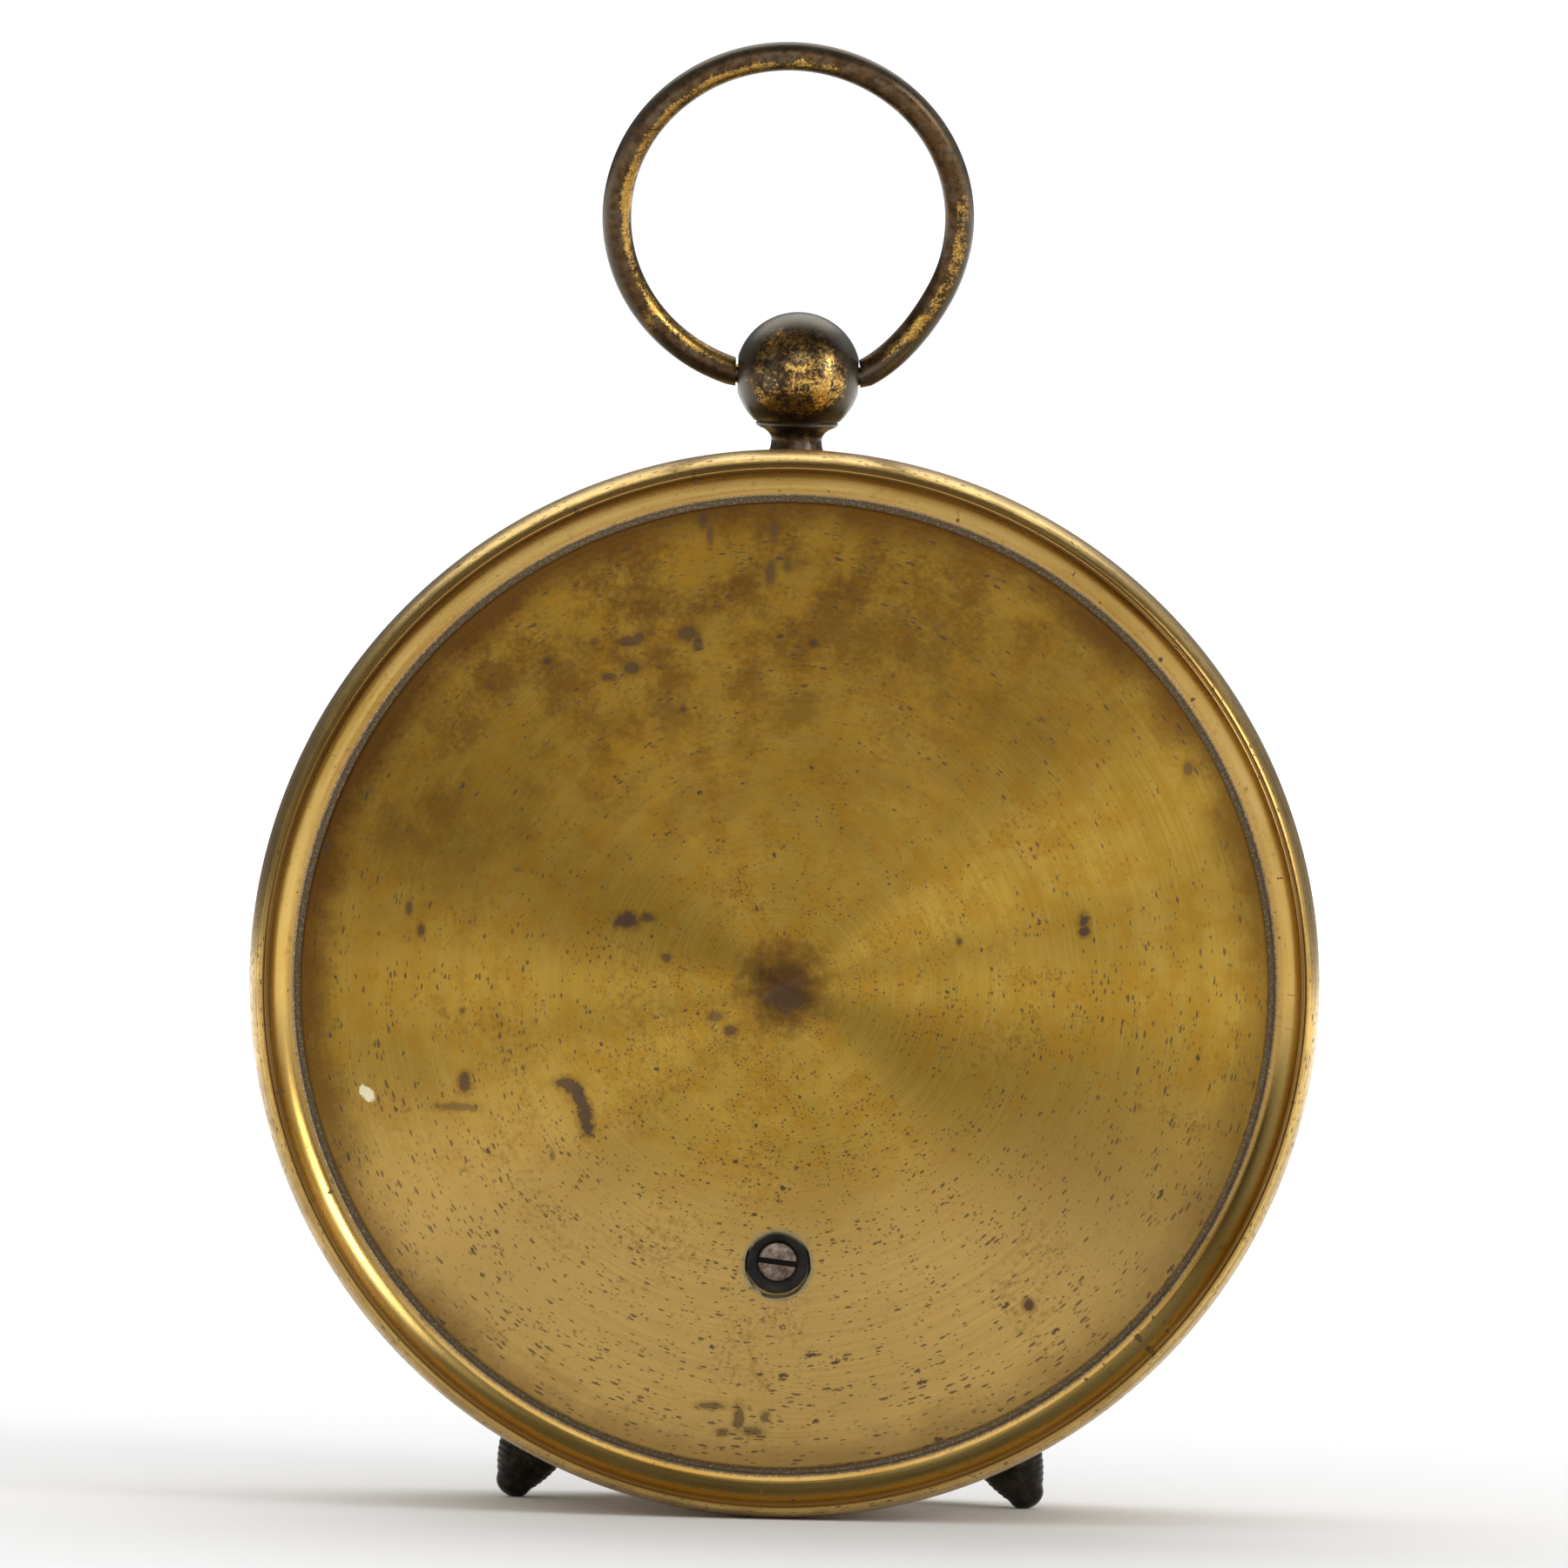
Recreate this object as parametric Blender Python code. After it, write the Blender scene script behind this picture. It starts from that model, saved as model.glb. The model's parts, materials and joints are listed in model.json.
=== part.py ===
"""Portable aneroid barometer in a round brass drum case.

Everything is laid out in a movement frame, in millimetres: X to the right seen from the
dial, V up across the drum, A along the drum axis from the back plane towards the dial.
The finished solids are then scaled to metres, leaned back onto their feet and set down
with the floor at Z = 0.
"""
import math

import bmesh
import bpy
from mathutils import Matrix, Vector

# ---------------------------------------------------------------- driving constants (mm)
MM = 0.001
RIM_R = 60.0             # widest radius of the rear rim and of the front bezel
RIM_A = 5.6              # depth of the rear rim's widest circle
WALL_R = 56.5            # outside of the drum wall
WALL_IN = 55.3           # inside of the drum wall
WALL_END = 43.0          # front edge of the drum wall
TILT = math.radians(2.24)  # how far the drum leans back on its feet
HOLE_V = -31.3           # adjusting hole, below the axis
HOLE_R = 3.5
PEND_A = 24.0            # pendant's place along the drum
BALL_V = 67.8            # centre of the pendant ball
BALL_R = 7.1
BALL_FLAT = 6.8          # half distance between the ball's flats
RING_R = 19.3            # centreline radius of the carrying ring
RING_WIRE = 1.62
RING_SIDE = 1.6          # the ring sits this far to one side of the ball
RING_RISE = 18.7         # ring centre above the ball, along the ring's own plane
RING_LEAN = math.radians(20.7)  # ring's lean from upright, towards the back
FOOT_A = 32.2
FOOT_ANG = math.radians(26.2)   # each foot, from the bottom of the drum
FOOT_TIP = 3.3
DIAL_A = 38.0
BASE_A = 5.5
PITCH_R = 1.3            # chain's distance from the arbor axis
ROCK_V = 36.0            # rocking shaft
ROCK_A = 17.0
BEND_V = -40.0           # middle of the main spring's bend
BEND_A = 18.2
SEG = 56                 # facets round the case

LATHES = {}
MADE = []


# ---------------------------------------------------------------- materials
def material(name, color, metallic, roughness, alpha=1.0):
    mat = bpy.data.materials.new(name)
    mat.use_nodes = True
    shader = mat.node_tree.nodes["Principled BSDF"]
    shader.inputs["Base Color"].default_value = (*color, 1.0)
    shader.inputs["Metallic"].default_value = metallic
    shader.inputs["Roughness"].default_value = roughness
    shader.inputs["Alpha"].default_value = alpha
    mat.diffuse_color = (*color, alpha)
    return mat


LOOKS = {
    "aged_brass": ((0.56, 0.38, 0.14), 1.0, 0.32),
    "turned_brass": ((0.60, 0.42, 0.18), 1.0, 0.38),
    "dark_bronze": ((0.13, 0.085, 0.045), 0.9, 0.36),
    "black_bronze": ((0.05, 0.045, 0.04), 0.8, 0.45),
    "steel": ((0.45, 0.45, 0.46), 1.0, 0.30),
    "blued_steel": ((0.03, 0.05, 0.16), 1.0, 0.25),
    "cast_iron": ((0.10, 0.10, 0.105), 0.7, 0.55),
    "nickel": ((0.55, 0.54, 0.50), 1.0, 0.28),
    "silvered": ((0.74, 0.73, 0.69), 0.6, 0.42),
}


def look(name):
    found = bpy.data.materials.get(name)
    if found:
        return found
    if name == "glass":
        return material("glass", (0.9, 0.95, 0.95), 0.0, 0.02, 0.25)
    return material(name, *LOOKS[name])


# ---------------------------------------------------------------- solid builders
def lathe(profile, seg, at=None):
    """Solid of revolution about local Z from a loop of (radius, height)."""
    bm = bmesh.new()
    rings = []
    for r, h in profile:
        if r < 1e-6:
            rings.append([bm.verts.new((0.0, 0.0, h))])
        else:
            turn = [2.0 * math.pi * i / seg for i in range(seg)]
            rings.append([bm.verts.new((r * math.cos(t), r * math.sin(t), h)) for t in turn])
    pairs = list(zip(rings, rings[1:]))
    if len(rings[0]) > 1:
        pairs.append((rings[-1], rings[0]))
    for low, high in pairs:
        if len(low) == 1 and len(high) == 1:
            continue
        for i in range(seg):
            j = (i + 1) % seg
            if len(low) == 1:
                bm.faces.new((low[0], high[i], high[j]))
            elif len(high) == 1:
                bm.faces.new((low[i], high[0], low[j]))
            else:
                bm.faces.new((low[i], high[i], high[j], low[j]))
    bmesh.ops.recalc_face_normals(bm, faces=bm.faces[:])
    if at is not None:
        bmesh.ops.transform(bm, matrix=at, verts=bm.verts[:])
    return bm


def rod(r, h0, h1, seg=16, at=None):
    """Plain cylinder, turned a little so its facets never line up with the case's."""
    twist = Matrix.Rotation(0.07, 4, "Z")
    return lathe([(0.0, h0), (r, h0), (r, h1), (0.0, h1)], seg, at @ twist if at else twist)


def prism(outline, h0, h1, at=None):
    """Straight extrusion of a closed outline along local Z."""
    bm = bmesh.new()
    low = [bm.verts.new((x, y, h0)) for x, y in outline]
    high = [bm.verts.new((x, y, h1)) for x, y in outline]
    bm.faces.new(low)
    bm.faces.new(high)
    for i in range(len(outline)):
        j = (i + 1) % len(outline)
        bm.faces.new((low[i], low[j], high[j], high[i]))
    bmesh.ops.recalc_face_normals(bm, faces=bm.faces[:])
    if at is not None:
        bmesh.ops.transform(bm, matrix=at, verts=bm.verts[:])
    return bm


def block(x0, x1, y0, y1, h0, h1):
    x0, x1 = min(x0, x1), max(x0, x1)
    return prism([(x0, y0), (x1, y0), (x1, y1), (x0, y1)], h0, h1)


def strip(path, half, thick):
    """Flat strip that follows a path of (v, a) points, its width along X."""
    bm = bmesh.new()
    rows = []
    for i, (v, a) in enumerate(path):
        prev = path[max(i - 1, 0)]
        post = path[min(i + 1, len(path) - 1)]
        along = Vector((post[0] - prev[0], post[1] - prev[1])).normalized()
        side = Vector((-along.y, along.x)) * (thick / 2.0)
        ends = ((v + side.x, a + side.y), (v - side.x, a - side.y))
        row = [bm.verts.new((x, p[0], p[1])) for x, p in
               ((-half, ends[0]), (half, ends[0]), (half, ends[1]), (-half, ends[1]))]
        rows.append(row)
    for low, high in zip(rows, rows[1:]):
        for i in range(4):
            j = (i + 1) % 4
            bm.faces.new((low[i], low[j], high[j], high[i]))
    bm.faces.new(rows[0])
    bm.faces.new(rows[-1])
    bmesh.ops.recalc_face_normals(bm, faces=bm.faces[:])
    return bm


def oval(x0, x1, half, steps=6):
    """Outline of a bar with round ends, along X."""
    pts = []
    for i in range(steps + 1):
        t = -math.pi / 2 + math.pi * i / steps
        pts.append((x1 + half * math.cos(t), half * math.sin(t)))
    for i in range(steps + 1):
        t = math.pi / 2 + math.pi * i / steps
        pts.append((x0 + half * math.cos(t), half * math.sin(t)))
    return pts


def polygon(count, r, turn=0.0):
    step = 2 * math.pi / count
    return [(r * math.cos(turn + step * i), r * math.sin(turn + step * i)) for i in range(count)]


def at_point(x, v, a=0.0):
    return Matrix.Translation((x, v, a))


def along_v(x=0.0, a=0.0):
    """Local Z laid along V."""
    return Matrix.Translation((x, 0.0, a)) @ Matrix.Rotation(-math.pi / 2, 4, "X")


def along_x(v=0.0, a=0.0):
    """Local Z laid along X."""
    return Matrix.Translation((0.0, v, a)) @ Matrix.Rotation(math.pi / 2, 4, "Y")


def to_object(name, bm):
    mesh = bpy.data.meshes.new(name)
    bm.to_mesh(mesh)
    bm.free()
    obj = bpy.data.objects.new(name, mesh)
    bpy.context.scene.collection.objects.link(obj)
    return obj


def combine(obj, tools, operation):
    """Boolean the tool solids into obj one after another, and drop the tools."""
    for number, tool in enumerate(tools):
        cutter = to_object("cutter%d" % number, tool)
        cutter.hide_render = True
        cutter.display_type = "WIRE"
        mod = obj.modifiers.new("bool", "BOOLEAN")
        mod.operation = operation
        mod.solver = "EXACT"
        mod.object = cutter
        graph = bpy.context.evaluated_depsgraph_get()
        mesh = bpy.data.meshes.new_from_object(obj.evaluated_get(graph))
        obj.modifiers.clear()
        old = obj.data
        obj.data = mesh
        bpy.data.meshes.remove(old)
        data = cutter.data
        bpy.data.objects.remove(cutter)
        bpy.data.meshes.remove(data)


def tidy(obj):
    bm = bmesh.new()
    bm.from_mesh(obj.data)
    bmesh.ops.remove_doubles(bm, verts=bm.verts[:], dist=0.0002)
    bmesh.ops.recalc_face_normals(bm, faces=bm.faces[:])
    bm.to_mesh(obj.data)
    bm.free()


def piece(name, bm, mat, add=(), cut=(), origin=(0.0, 0.0, 0.0), smooth=True):
    """Make one named sub-part: unions, then cuts, its material and its own origin."""
    obj = to_object(name, bm)
    if add:
        combine(obj, add, "UNION")
    if cut:
        combine(obj, cut, "DIFFERENCE")
    if add or cut:
        tidy(obj)
    obj.data.name = name
    obj.data.transform(Matrix.Translation([-c for c in origin]))
    obj.data.transform(Matrix.Scale(MM, 4))
    obj.location = Vector(origin) * MM
    obj.data.materials.clear()
    obj.data.materials.append(look(mat))
    if smooth:
        obj.data.shade_smooth()
        obj.data.set_sharp_from_angle(angle=math.radians(32))
    MADE.append(obj)
    return obj


def screw(head_r, head_h0, head_h1, shank_r, tip, slot=0.5, at=None, seg=12):
    """Slotted cheese-head screw: head from head_h0 to head_h1, shank to tip."""
    if tip < head_h0:
        prof = [(0, tip), (shank_r * 0.7, tip), (shank_r, tip + 0.3), (shank_r, head_h0),
                (head_r, head_h0), (head_r, head_h1 - 0.2), (head_r - 0.2, head_h1), (0, head_h1)]
        top = head_h1
    else:
        prof = [(0, head_h0), (head_r - 0.2, head_h0), (head_r, head_h0 + 0.2), (head_r, head_h1),
                (shank_r, head_h1), (shank_r, tip - 0.3), (shank_r * 0.7, tip), (0, tip)]
        top = head_h0
    body = lathe(prof, seg, at)
    groove = block(-head_r - 1, head_r + 1, -slot / 2, slot / 2, top - 0.5, top + 0.5)
    if at is not None:
        bmesh.ops.transform(groove, matrix=at, verts=groove.verts[:])
    return body, groove


# ---------------------------------------------------------------- start from nothing
for old in list(bpy.data.objects):
    bpy.data.objects.remove(old)

# ---------------------------------------------------------------- case
DRUM = [(58.1, 0.0), (57.4, 1.0), (56.4, 1.9), (55.0, 2.3), (54.85, 3.7), (50.0, 3.7),
        (50.0, 5.2), (WALL_IN, 5.2), (WALL_IN, WALL_END), (WALL_R, WALL_END), (WALL_R, 9.4),
        (58.7, 8.8), (59.7, 7.3), (RIM_R, RIM_A), (59.8, 3.6), (59.1, 1.6), (58.3, 0.3)]
BASE_SCREW_R = 52.3
BASE_SCREW_ANG = [math.radians(d) for d in (30, 150, 270)]
DIAL_POST_R = 46.0
DIAL_POST_ANG = [math.radians(d) for d in (70, 190, 310)]


def spots(radius, angles):
    return [(radius * math.cos(t), radius * math.sin(t)) for t in angles]


def foot_frame(side):
    """Local Z out along a foot's axis, seen from the drum's centre."""
    turn = Matrix.Rotation(side * FOOT_ANG, 4, "Z") @ Matrix.Rotation(math.pi / 2, 4, "X")
    return Matrix.Translation((0.0, 0.0, FOOT_A)) @ turn


wall_holes = [rod(2.1, 50.0, 58.5, 16, along_v(0.0, PEND_A))]
wall_holes += [rod(1.9, 50.0, 58.5, 16, foot_frame(s)) for s in (-1, 1)]
wall_holes += [rod(1.25, 3.0, 6.0, 12, at_point(x, v)) for x, v in spots(BASE_SCREW_R, BASE_SCREW_ANG)]
piece("case_drum", lathe(DRUM, SEG), "aged_brass", cut=wall_holes)

PLATE = [(0, 2.3), (54.1, 2.3), (54.5, 2.55), (54.5, 3.4), (0, 3.4)]
piece("back_plate", lathe(PLATE, SEG), "turned_brass",
      cut=[rod(HOLE_R, 1.0, 5.0, 32, at_point(0, HOLE_V))])

# ---------------------------------------------------------------- pendant, ring and feet
ball_angles = [math.radians(d) for d in range(-48, 84, 14)]
PENDANT = [(0, 52.9), (1.75, 52.9), (1.75, 56.85), (4.8, 56.85), (4.8, 57.5), (3.7, 58.3),
           (3.0, 59.5), (2.85, 60.8), (3.1, 61.7), (3.9, 62.0), (4.75, 62.1), (4.75, 62.5)]
PENDANT += [(BALL_R * math.cos(t), BALL_V + BALL_R * math.sin(t)) for t in ball_angles[0:]]
PENDANT += [(0, BALL_V + BALL_R)]
ball_cuts = [prism([(s * BALL_FLAT, 60), (s * 12, 60), (s * 12, 80), (s * BALL_FLAT, 80)],
                   PEND_A - 12, PEND_A + 12) for s in (-1, 1)]
ball_cuts.append(rod(1.3, -12, 12, 16, along_x(BALL_V, PEND_A)))
piece("pendant", lathe(PENDANT, 28, along_v(0.0, PEND_A)), "dark_bronze", cut=ball_cuts)
piece("pendant_nut", prism(polygon(6, 4.0), 52.8, 54.8, along_v(0.0, PEND_A)), "nickel",
      cut=[rod(2.05, 50, 56, 16, along_v(0.0, PEND_A))], smooth=False)


def carrying_ring():
    """Round wire bent to a ring, open at the ball, with a pin in each end."""
    bm = bmesh.new()
    rows = []
    count, sides = 56, 10
    for i in range(count):
        t = 2 * math.pi * i / count
        row = []
        for k in range(sides):
            p = 2 * math.pi * k / sides
            r = RING_R + RING_WIRE * math.cos(p)
            row.append(bm.verts.new((RING_SIDE + r * math.cos(t), RING_RISE + r * math.sin(t),
                                     RING_WIRE * math.sin(p))))
        rows.append(row)
    for i in range(count):
        for k in range(sides):
            n = (k + 1) % sides
            m = (i + 1) % count
            bm.faces.new((rows[i][k], rows[m][k], rows[m][n], rows[i][n]))
    bmesh.ops.recalc_face_normals(bm, faces=bm.faces[:])
    return bm


def lean_ring(bm):
    """Carry ring geometry from its own plane to the ball, leaning to the back."""
    turn = Matrix.Rotation(-(RING_LEAN - TILT), 4, "X")
    place = Matrix.Translation((0.0, BALL_V, PEND_A)) @ turn
    bmesh.ops.transform(bm, matrix=place, verts=bm.verts[:])
    return bm


GAP = BALL_FLAT + 0.28
pins = [rod(1.05, s * 3.6, s * (GAP + 1.2), 12, along_x()) for s in (-1, 1)]
ring = to_object("ring_blank", carrying_ring())
combine(ring, [block(-GAP, GAP, -8, 8, -8, 8)], "DIFFERENCE")
combine(ring, pins, "UNION")
blank = bmesh.new()
blank.from_mesh(ring.data)
bpy.data.objects.remove(ring)
bmesh.ops.remove_doubles(blank, verts=blank.verts[:], dist=0.002)
piece("carrying_ring", lean_ring(blank), "dark_bronze", origin=(0.0, BALL_V, PEND_A))

# the feet reach the floor line that leaves the rear rim's lowest circle
floor_z = min(-r * math.cos(TILT) + a * math.sin(TILT) for r, a in DRUM)
squash = 0.85
off_axis = math.acos(math.cos(FOOT_ANG) * math.cos(TILT))
reach = FOOT_TIP * math.hypot(math.sin(off_axis), squash * math.cos(off_axis)) - 0.12
foot_c = (-floor_z + FOOT_A * math.sin(TILT) - reach) / (math.cos(FOOT_ANG) * math.cos(TILT))


def foot(side):
    """Knurled foot with a domed tip, worn flat where it meets the floor."""
    prof = [(0, 52.9), (1.6, 52.9), (1.6, 56.85), (4.7, 56.85), (4.5, 57.6), (4.0, 58.4),
            (3.7, 59.2), (3.6, 60.2), (3.5, foot_c - 0.4)]
    for d in range(0, 90, 18):
        t = math.radians(d)
        prof.append((FOOT_TIP * math.cos(t), foot_c + squash * FOOT_TIP * math.sin(t)))
    prof.append((0, foot_c + squash * FOOT_TIP))
    bm = lathe(prof, 28)
    for vert in bm.verts:
        if 59.0 < vert.co.z < foot_c - 0.2:
            turn = round(math.atan2(vert.co.y, vert.co.x) / (2 * math.pi / 28))
            grow = 1.03 if turn % 2 else 0.97
            vert.co.x *= grow
            vert.co.y *= grow
    bmesh.ops.transform(bm, matrix=foot_frame(side), verts=bm.verts[:])
    down = Vector((0.0, -math.cos(TILT), -math.sin(TILT)))
    cut = bmesh.ops.bisect_plane(bm, geom=bm.verts[:] + bm.edges[:] + bm.faces[:], dist=1e-4,
                                 plane_co=-down * floor_z, plane_no=down, clear_outer=True)
    rim = [e for e in cut["geom_cut"] if isinstance(e, bmesh.types.BMEdge)]
    bmesh.ops.contextual_create(bm, geom=rim)
    bmesh.ops.recalc_face_normals(bm, faces=bm.faces[:])
    return bm


for side, word in ((-1, "left"), (1, "right")):
    piece("foot_" + word, foot(side), "black_bronze")
    piece("foot_nut_" + word, prism(polygon(6, 3.7), 52.8, 54.8, foot_frame(side)), "nickel",
          cut=[rod(1.9, 50, 56, 16, foot_frame(side))], smooth=False)

# ---------------------------------------------------------------- base plate and its fixings
LUG_X = 24.7
base_add = [block(s * LUG_X, s * (LUG_X + 2.4), -19, -13, BASE_A + 1.0, 15.0) for s in (-1, 1)]
PILLAR_X = 25.0
base_cut = [rod(HOLE_R, 4, 9, 24, at_point(0, HOLE_V))]
base_cut += [rod(1.3, 4, 9, 12, at_point(x, v)) for x, v in spots(BASE_SCREW_R, BASE_SCREW_ANG)]
base_cut += [rod(1.5, 4, 9, 12, at_point(x, v)) for x, v in spots(DIAL_POST_R, DIAL_POST_ANG)]
base_cut += [rod(1.5, 4, 9, 12, at_point(s * PILLAR_X, 0)) for s in (-1, 1)]
base_cut += [rod(1.3, 4, 9, 12, at_point(s * 14.5, ROCK_V)) for s in (-1, 1)]
base_cut += [rod(1.2, s * 20, s * 30, 12, along_x(-16, 12.25)) for s in (-1, 1)]
BASE = [(2.3, BASE_A), (54.4, BASE_A), (54.4, 7.5), (2.3, 7.5)]
piece("base_plate", lathe(BASE, 44), "turned_brass", add=base_add, cut=base_cut)

for number, (x, v) in enumerate(spots(BASE_SCREW_R, BASE_SCREW_ANG)):
    body, groove = screw(1.9, 7.8, 9.0, 0.95, 4.0, at=at_point(x, v))
    piece("base_screw_%d" % (number + 1), body, "steel", cut=[groove])

# ---------------------------------------------------------------- vacuum capsule
CAPSULE = [(0, 4.0), (2.0, 4.0), (2.0, 7.9), (5.0, 7.9), (5.6, 8.6)]
CAPSULE += [(7.5 + 3.0 * i, 9.4 if i % 2 else 8.6) for i in range(4)]
CAPSULE += [(19.4, 10.8), (20.3, 11.6), (20.3, 12.4), (19.4, 13.2)]
CAPSULE += [(16.5 - 3.0 * i, 15.4 if i % 2 else 14.6) for i in range(4)]
CAPSULE += [(5.2, 15.4), (4.6, 16.0), (0, 16.0)]
piece("capsule", lathe(CAPSULE, 32), "nickel")
piece("capsule_nut", prism(polygon(6, 4.6), 3.9, 5.2), "steel", cut=[rod(2.3, 3, 6, 16)],
      smooth=False)
POST = [(0, 16.4), (3.2, 16.4), (3.2, 17.3), (2.2, 17.6), (2.2, 24.8), (1.9, 25.1), (0, 25.1)]
piece("capsule_post", lathe(POST, 20), "steel",
      cut=[block(-6, 6, -1.15, 1.15, 22.5, 24.5)], origin=(0.0, 0.0, 16.4))

# ---------------------------------------------------------------- zero adjuster and yoke
piece("adjuster_bush", lathe([(1.75, 7.8), (5.2, 7.8), (5.2, 8.8), (3.2, 9.4), (1.75, 9.4)], 20,
                             at_point(0, HOLE_V)), "turned_brass")
body, groove = screw(2.3, 6.1, 7.5, 1.45, 13.5, slot=0.5,
                     at=at_point(0, HOLE_V) @ Matrix.Rotation(math.radians(6), 4, "Z"), seg=20)
piece("adjusting_screw", body, "steel", cut=[groove], origin=(0.0, HOLE_V, 7.5))

YOKE = [(-24.3, -35), (24.3, -35), (24.3, -12.6), (21.4, -12.6), (21.4, -26.5), (-21.4, -26.5),
        (-21.4, -12.6), (-24.3, -12.6)]
yoke_cut = [rod(1.75, 9, 15, 16, at_point(0, HOLE_V))]
yoke_cut += [rod(1.1, 9, 15, 12, at_point(s * 4.8, -28)) for s in (-1, 1)]
yoke_cut += [rod(1.2, -30, 30, 12, along_x(-16, 12.25))]
piece("spring_yoke", prism(YOKE, 11, 13.5), "cast_iron", cut=yoke_cut, smooth=False)
for side, word in ((-1, "left"), (1, "right")):
    frame = Matrix.Translation((0, -16, 12.25)) @ Matrix.Rotation(side * math.pi / 2, 4, "Y")
    body, groove = screw(1.9, 27.4, 28.6, 0.9, 21.9, at=frame)
    piece("pivot_screw_" + word, body, "steel", cut=[groove])

# ---------------------------------------------------------------- main spring and lever
bend_r = 3.8
spring_path = [(-24.5, BEND_A - bend_r), (-30.0, BEND_A - bend_r), (-36.0, BEND_A - bend_r)]
for i in range(13):
    t = math.radians(-90 - 15 * i)
    spring_path.append((BEND_V + bend_r * math.cos(t), BEND_A + bend_r * math.sin(t)))
spring_path += [(-30.0, BEND_A + bend_r), (-10.0, BEND_A + bend_r), (11.0, BEND_A + bend_r)]
spring_cut = [rod(3.2, 20, 24, 20), rod(1.1, 20, 24, 12, at_point(0, 8))]
spring_cut += [rod(1.15, 12, 16, 12, at_point(s * 4.8, -28)) for s in (-1, 1)]
piece("main_spring", strip(spring_path, 8.0, 1.0), "blued_steel", cut=spring_cut,
      origin=(0.0, BEND_V, BEND_A), smooth=False)
for side, word in ((-1, "left"), (1, "right")):
    body, groove = screw(1.6, 15.25, 16.2, 0.8, 11.4, at=at_point(side * 4.8, -28))
    piece("spring_screw_" + word, body, "steel", cut=[groove])
piece("knife_edge", prism([(-0.85, 24.2), (0, 22.85), (0.85, 24.2)], -6, 6,
                          Matrix(((0, 0, 1, 0), (1, 0, 0, 0), (0, 1, 0, 0), (0, 0, 0, 1)))),
      "steel", origin=(0.0, BEND_V, BEND_A), smooth=False)
LEVER = [(-2.6, 5.5), (2.6, 5.5), (3.6, 18), (6.4, 38.6), (6.3, 41.4), (3.7, 41.4), (3.6, 38.6),
         (-0.4, 18)]
piece("main_lever", prism(LEVER, 22.85, 24.05), "steel",
      cut=[rod(1.1, 20, 26, 12, at_point(0, 8)), rod(0.75, 20, 26, 12, at_point(5, 40))],
      origin=(0.0, BEND_V, BEND_A), smooth=False)
body, groove = screw(1.7, 24.35, 25.3, 0.8, 21.2, at=at_point(0, 8))
piece("lever_screw", body, "steel", cut=[groove], origin=(0.0, BEND_V, BEND_A))

# ---------------------------------------------------------------- link, rocking shaft, chain
LINK = [(0, 15.2), (0.85, 15.2), (0.85, 15.8), (0.4, 15.8), (0.4, 24.5), (0.85, 24.5),
        (0.85, 25.1), (0, 25.1)]
piece("link_rod", lathe(LINK, 12, at_point(5, 40)), "steel", origin=(5.0, 40.0, 17.0))
SHAFT = [(0, -14.9), (0.5, -14.9), (0.5, -13.1), (0.8, -13.1), (0.8, 13.1), (0.5, 13.1),
         (0.5, 14.9), (0, 14.9)]
rocker_add = [block(-2.0, -0.6, ROCK_V - 1.0, ROCK_V + 1.0, ROCK_A - 1.2, 33.9),
              block(4.1, 5.9, ROCK_V - 1.2, ROCK_V + 5.2, ROCK_A - 0.7, ROCK_A + 0.7)]
piece("rocking_shaft", lathe(SHAFT, 14, along_x(ROCK_V, ROCK_A)), "steel", add=rocker_add,
      cut=[rod(0.8, 14, 20, 12, at_point(5, 40))], origin=(0.0, ROCK_V, ROCK_A))
for side, word in ((-1, "left"), (1, "right")):
    x0, x1 = sorted((side * 13.4, side * 15.6))
    piece("rocker_post_" + word, block(x0, x1, ROCK_V - 2.6, ROCK_V + 2.6, 7.8, 19.4),
          "turned_brass", add=[rod(1.0, 5.7, 9.0, 12, at_point(side * 14.5, ROCK_V))],
          cut=[rod(0.85, -20, 20, 12, along_x(ROCK_V, ROCK_A))], smooth=False)
CHAIN = []
for i in range(28):
    CHAIN.append((0.24 if i % 2 else 0.16, 0.6 + i * 1.24))
CHAIN = [(0, 0.6)] + CHAIN + [(0, CHAIN[-1][1])]
piece("chain", lathe(CHAIN, 6, along_v(-PITCH_R, 33.0)), "steel", origin=(-PITCH_R, 0.0, 33.0))

# ---------------------------------------------------------------- arbor and its bridges
ARBOR = [(0, 26.2), (0.35, 26.2), (0.35, 27.7), (0.7, 27.7), (0.7, 28.4), (1.25, 28.4),
         (1.25, 29.8), (0.7, 29.8), (0.7, 31.6), (0.85, 31.6), (0.85, 34.3), (0.5, 34.3),
         (0.5, 41.0), (0, 41.0)]
piece("arbor", lathe(ARBOR, 16), "steel", origin=(0.0, 0.0, 27.0))
bar_low_cut = [rod(0.65, 25, 28, 12), rod(0.85, 25, 28, 12, at_point(7.6, 0))]
bar_low_cut += [rod(1.3, 25, 28, 12, at_point(s * PILLAR_X, 0)) for s in (-1, 1)]
bar_low_cut += [rod(1.1, 25, 28, 12, at_point(s * 12, 0)) for s in (-1, 1)]
piece("bridge_lower", prism(oval(-PILLAR_X, PILLAR_X, 3.4), 26.0, 27.2), "turned_brass",
      cut=bar_low_cut, smooth=False)
bar_top_cut = [rod(0.8, 34, 37, 12)] + [rod(1.1, 34, 37, 12, at_point(s * 12, 0)) for s in (-1, 1)]
piece("bridge_upper", prism(oval(-12, 12, 2.6), 35.0, 36.2), "turned_brass", cut=bar_top_cut,
      smooth=False)
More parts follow.
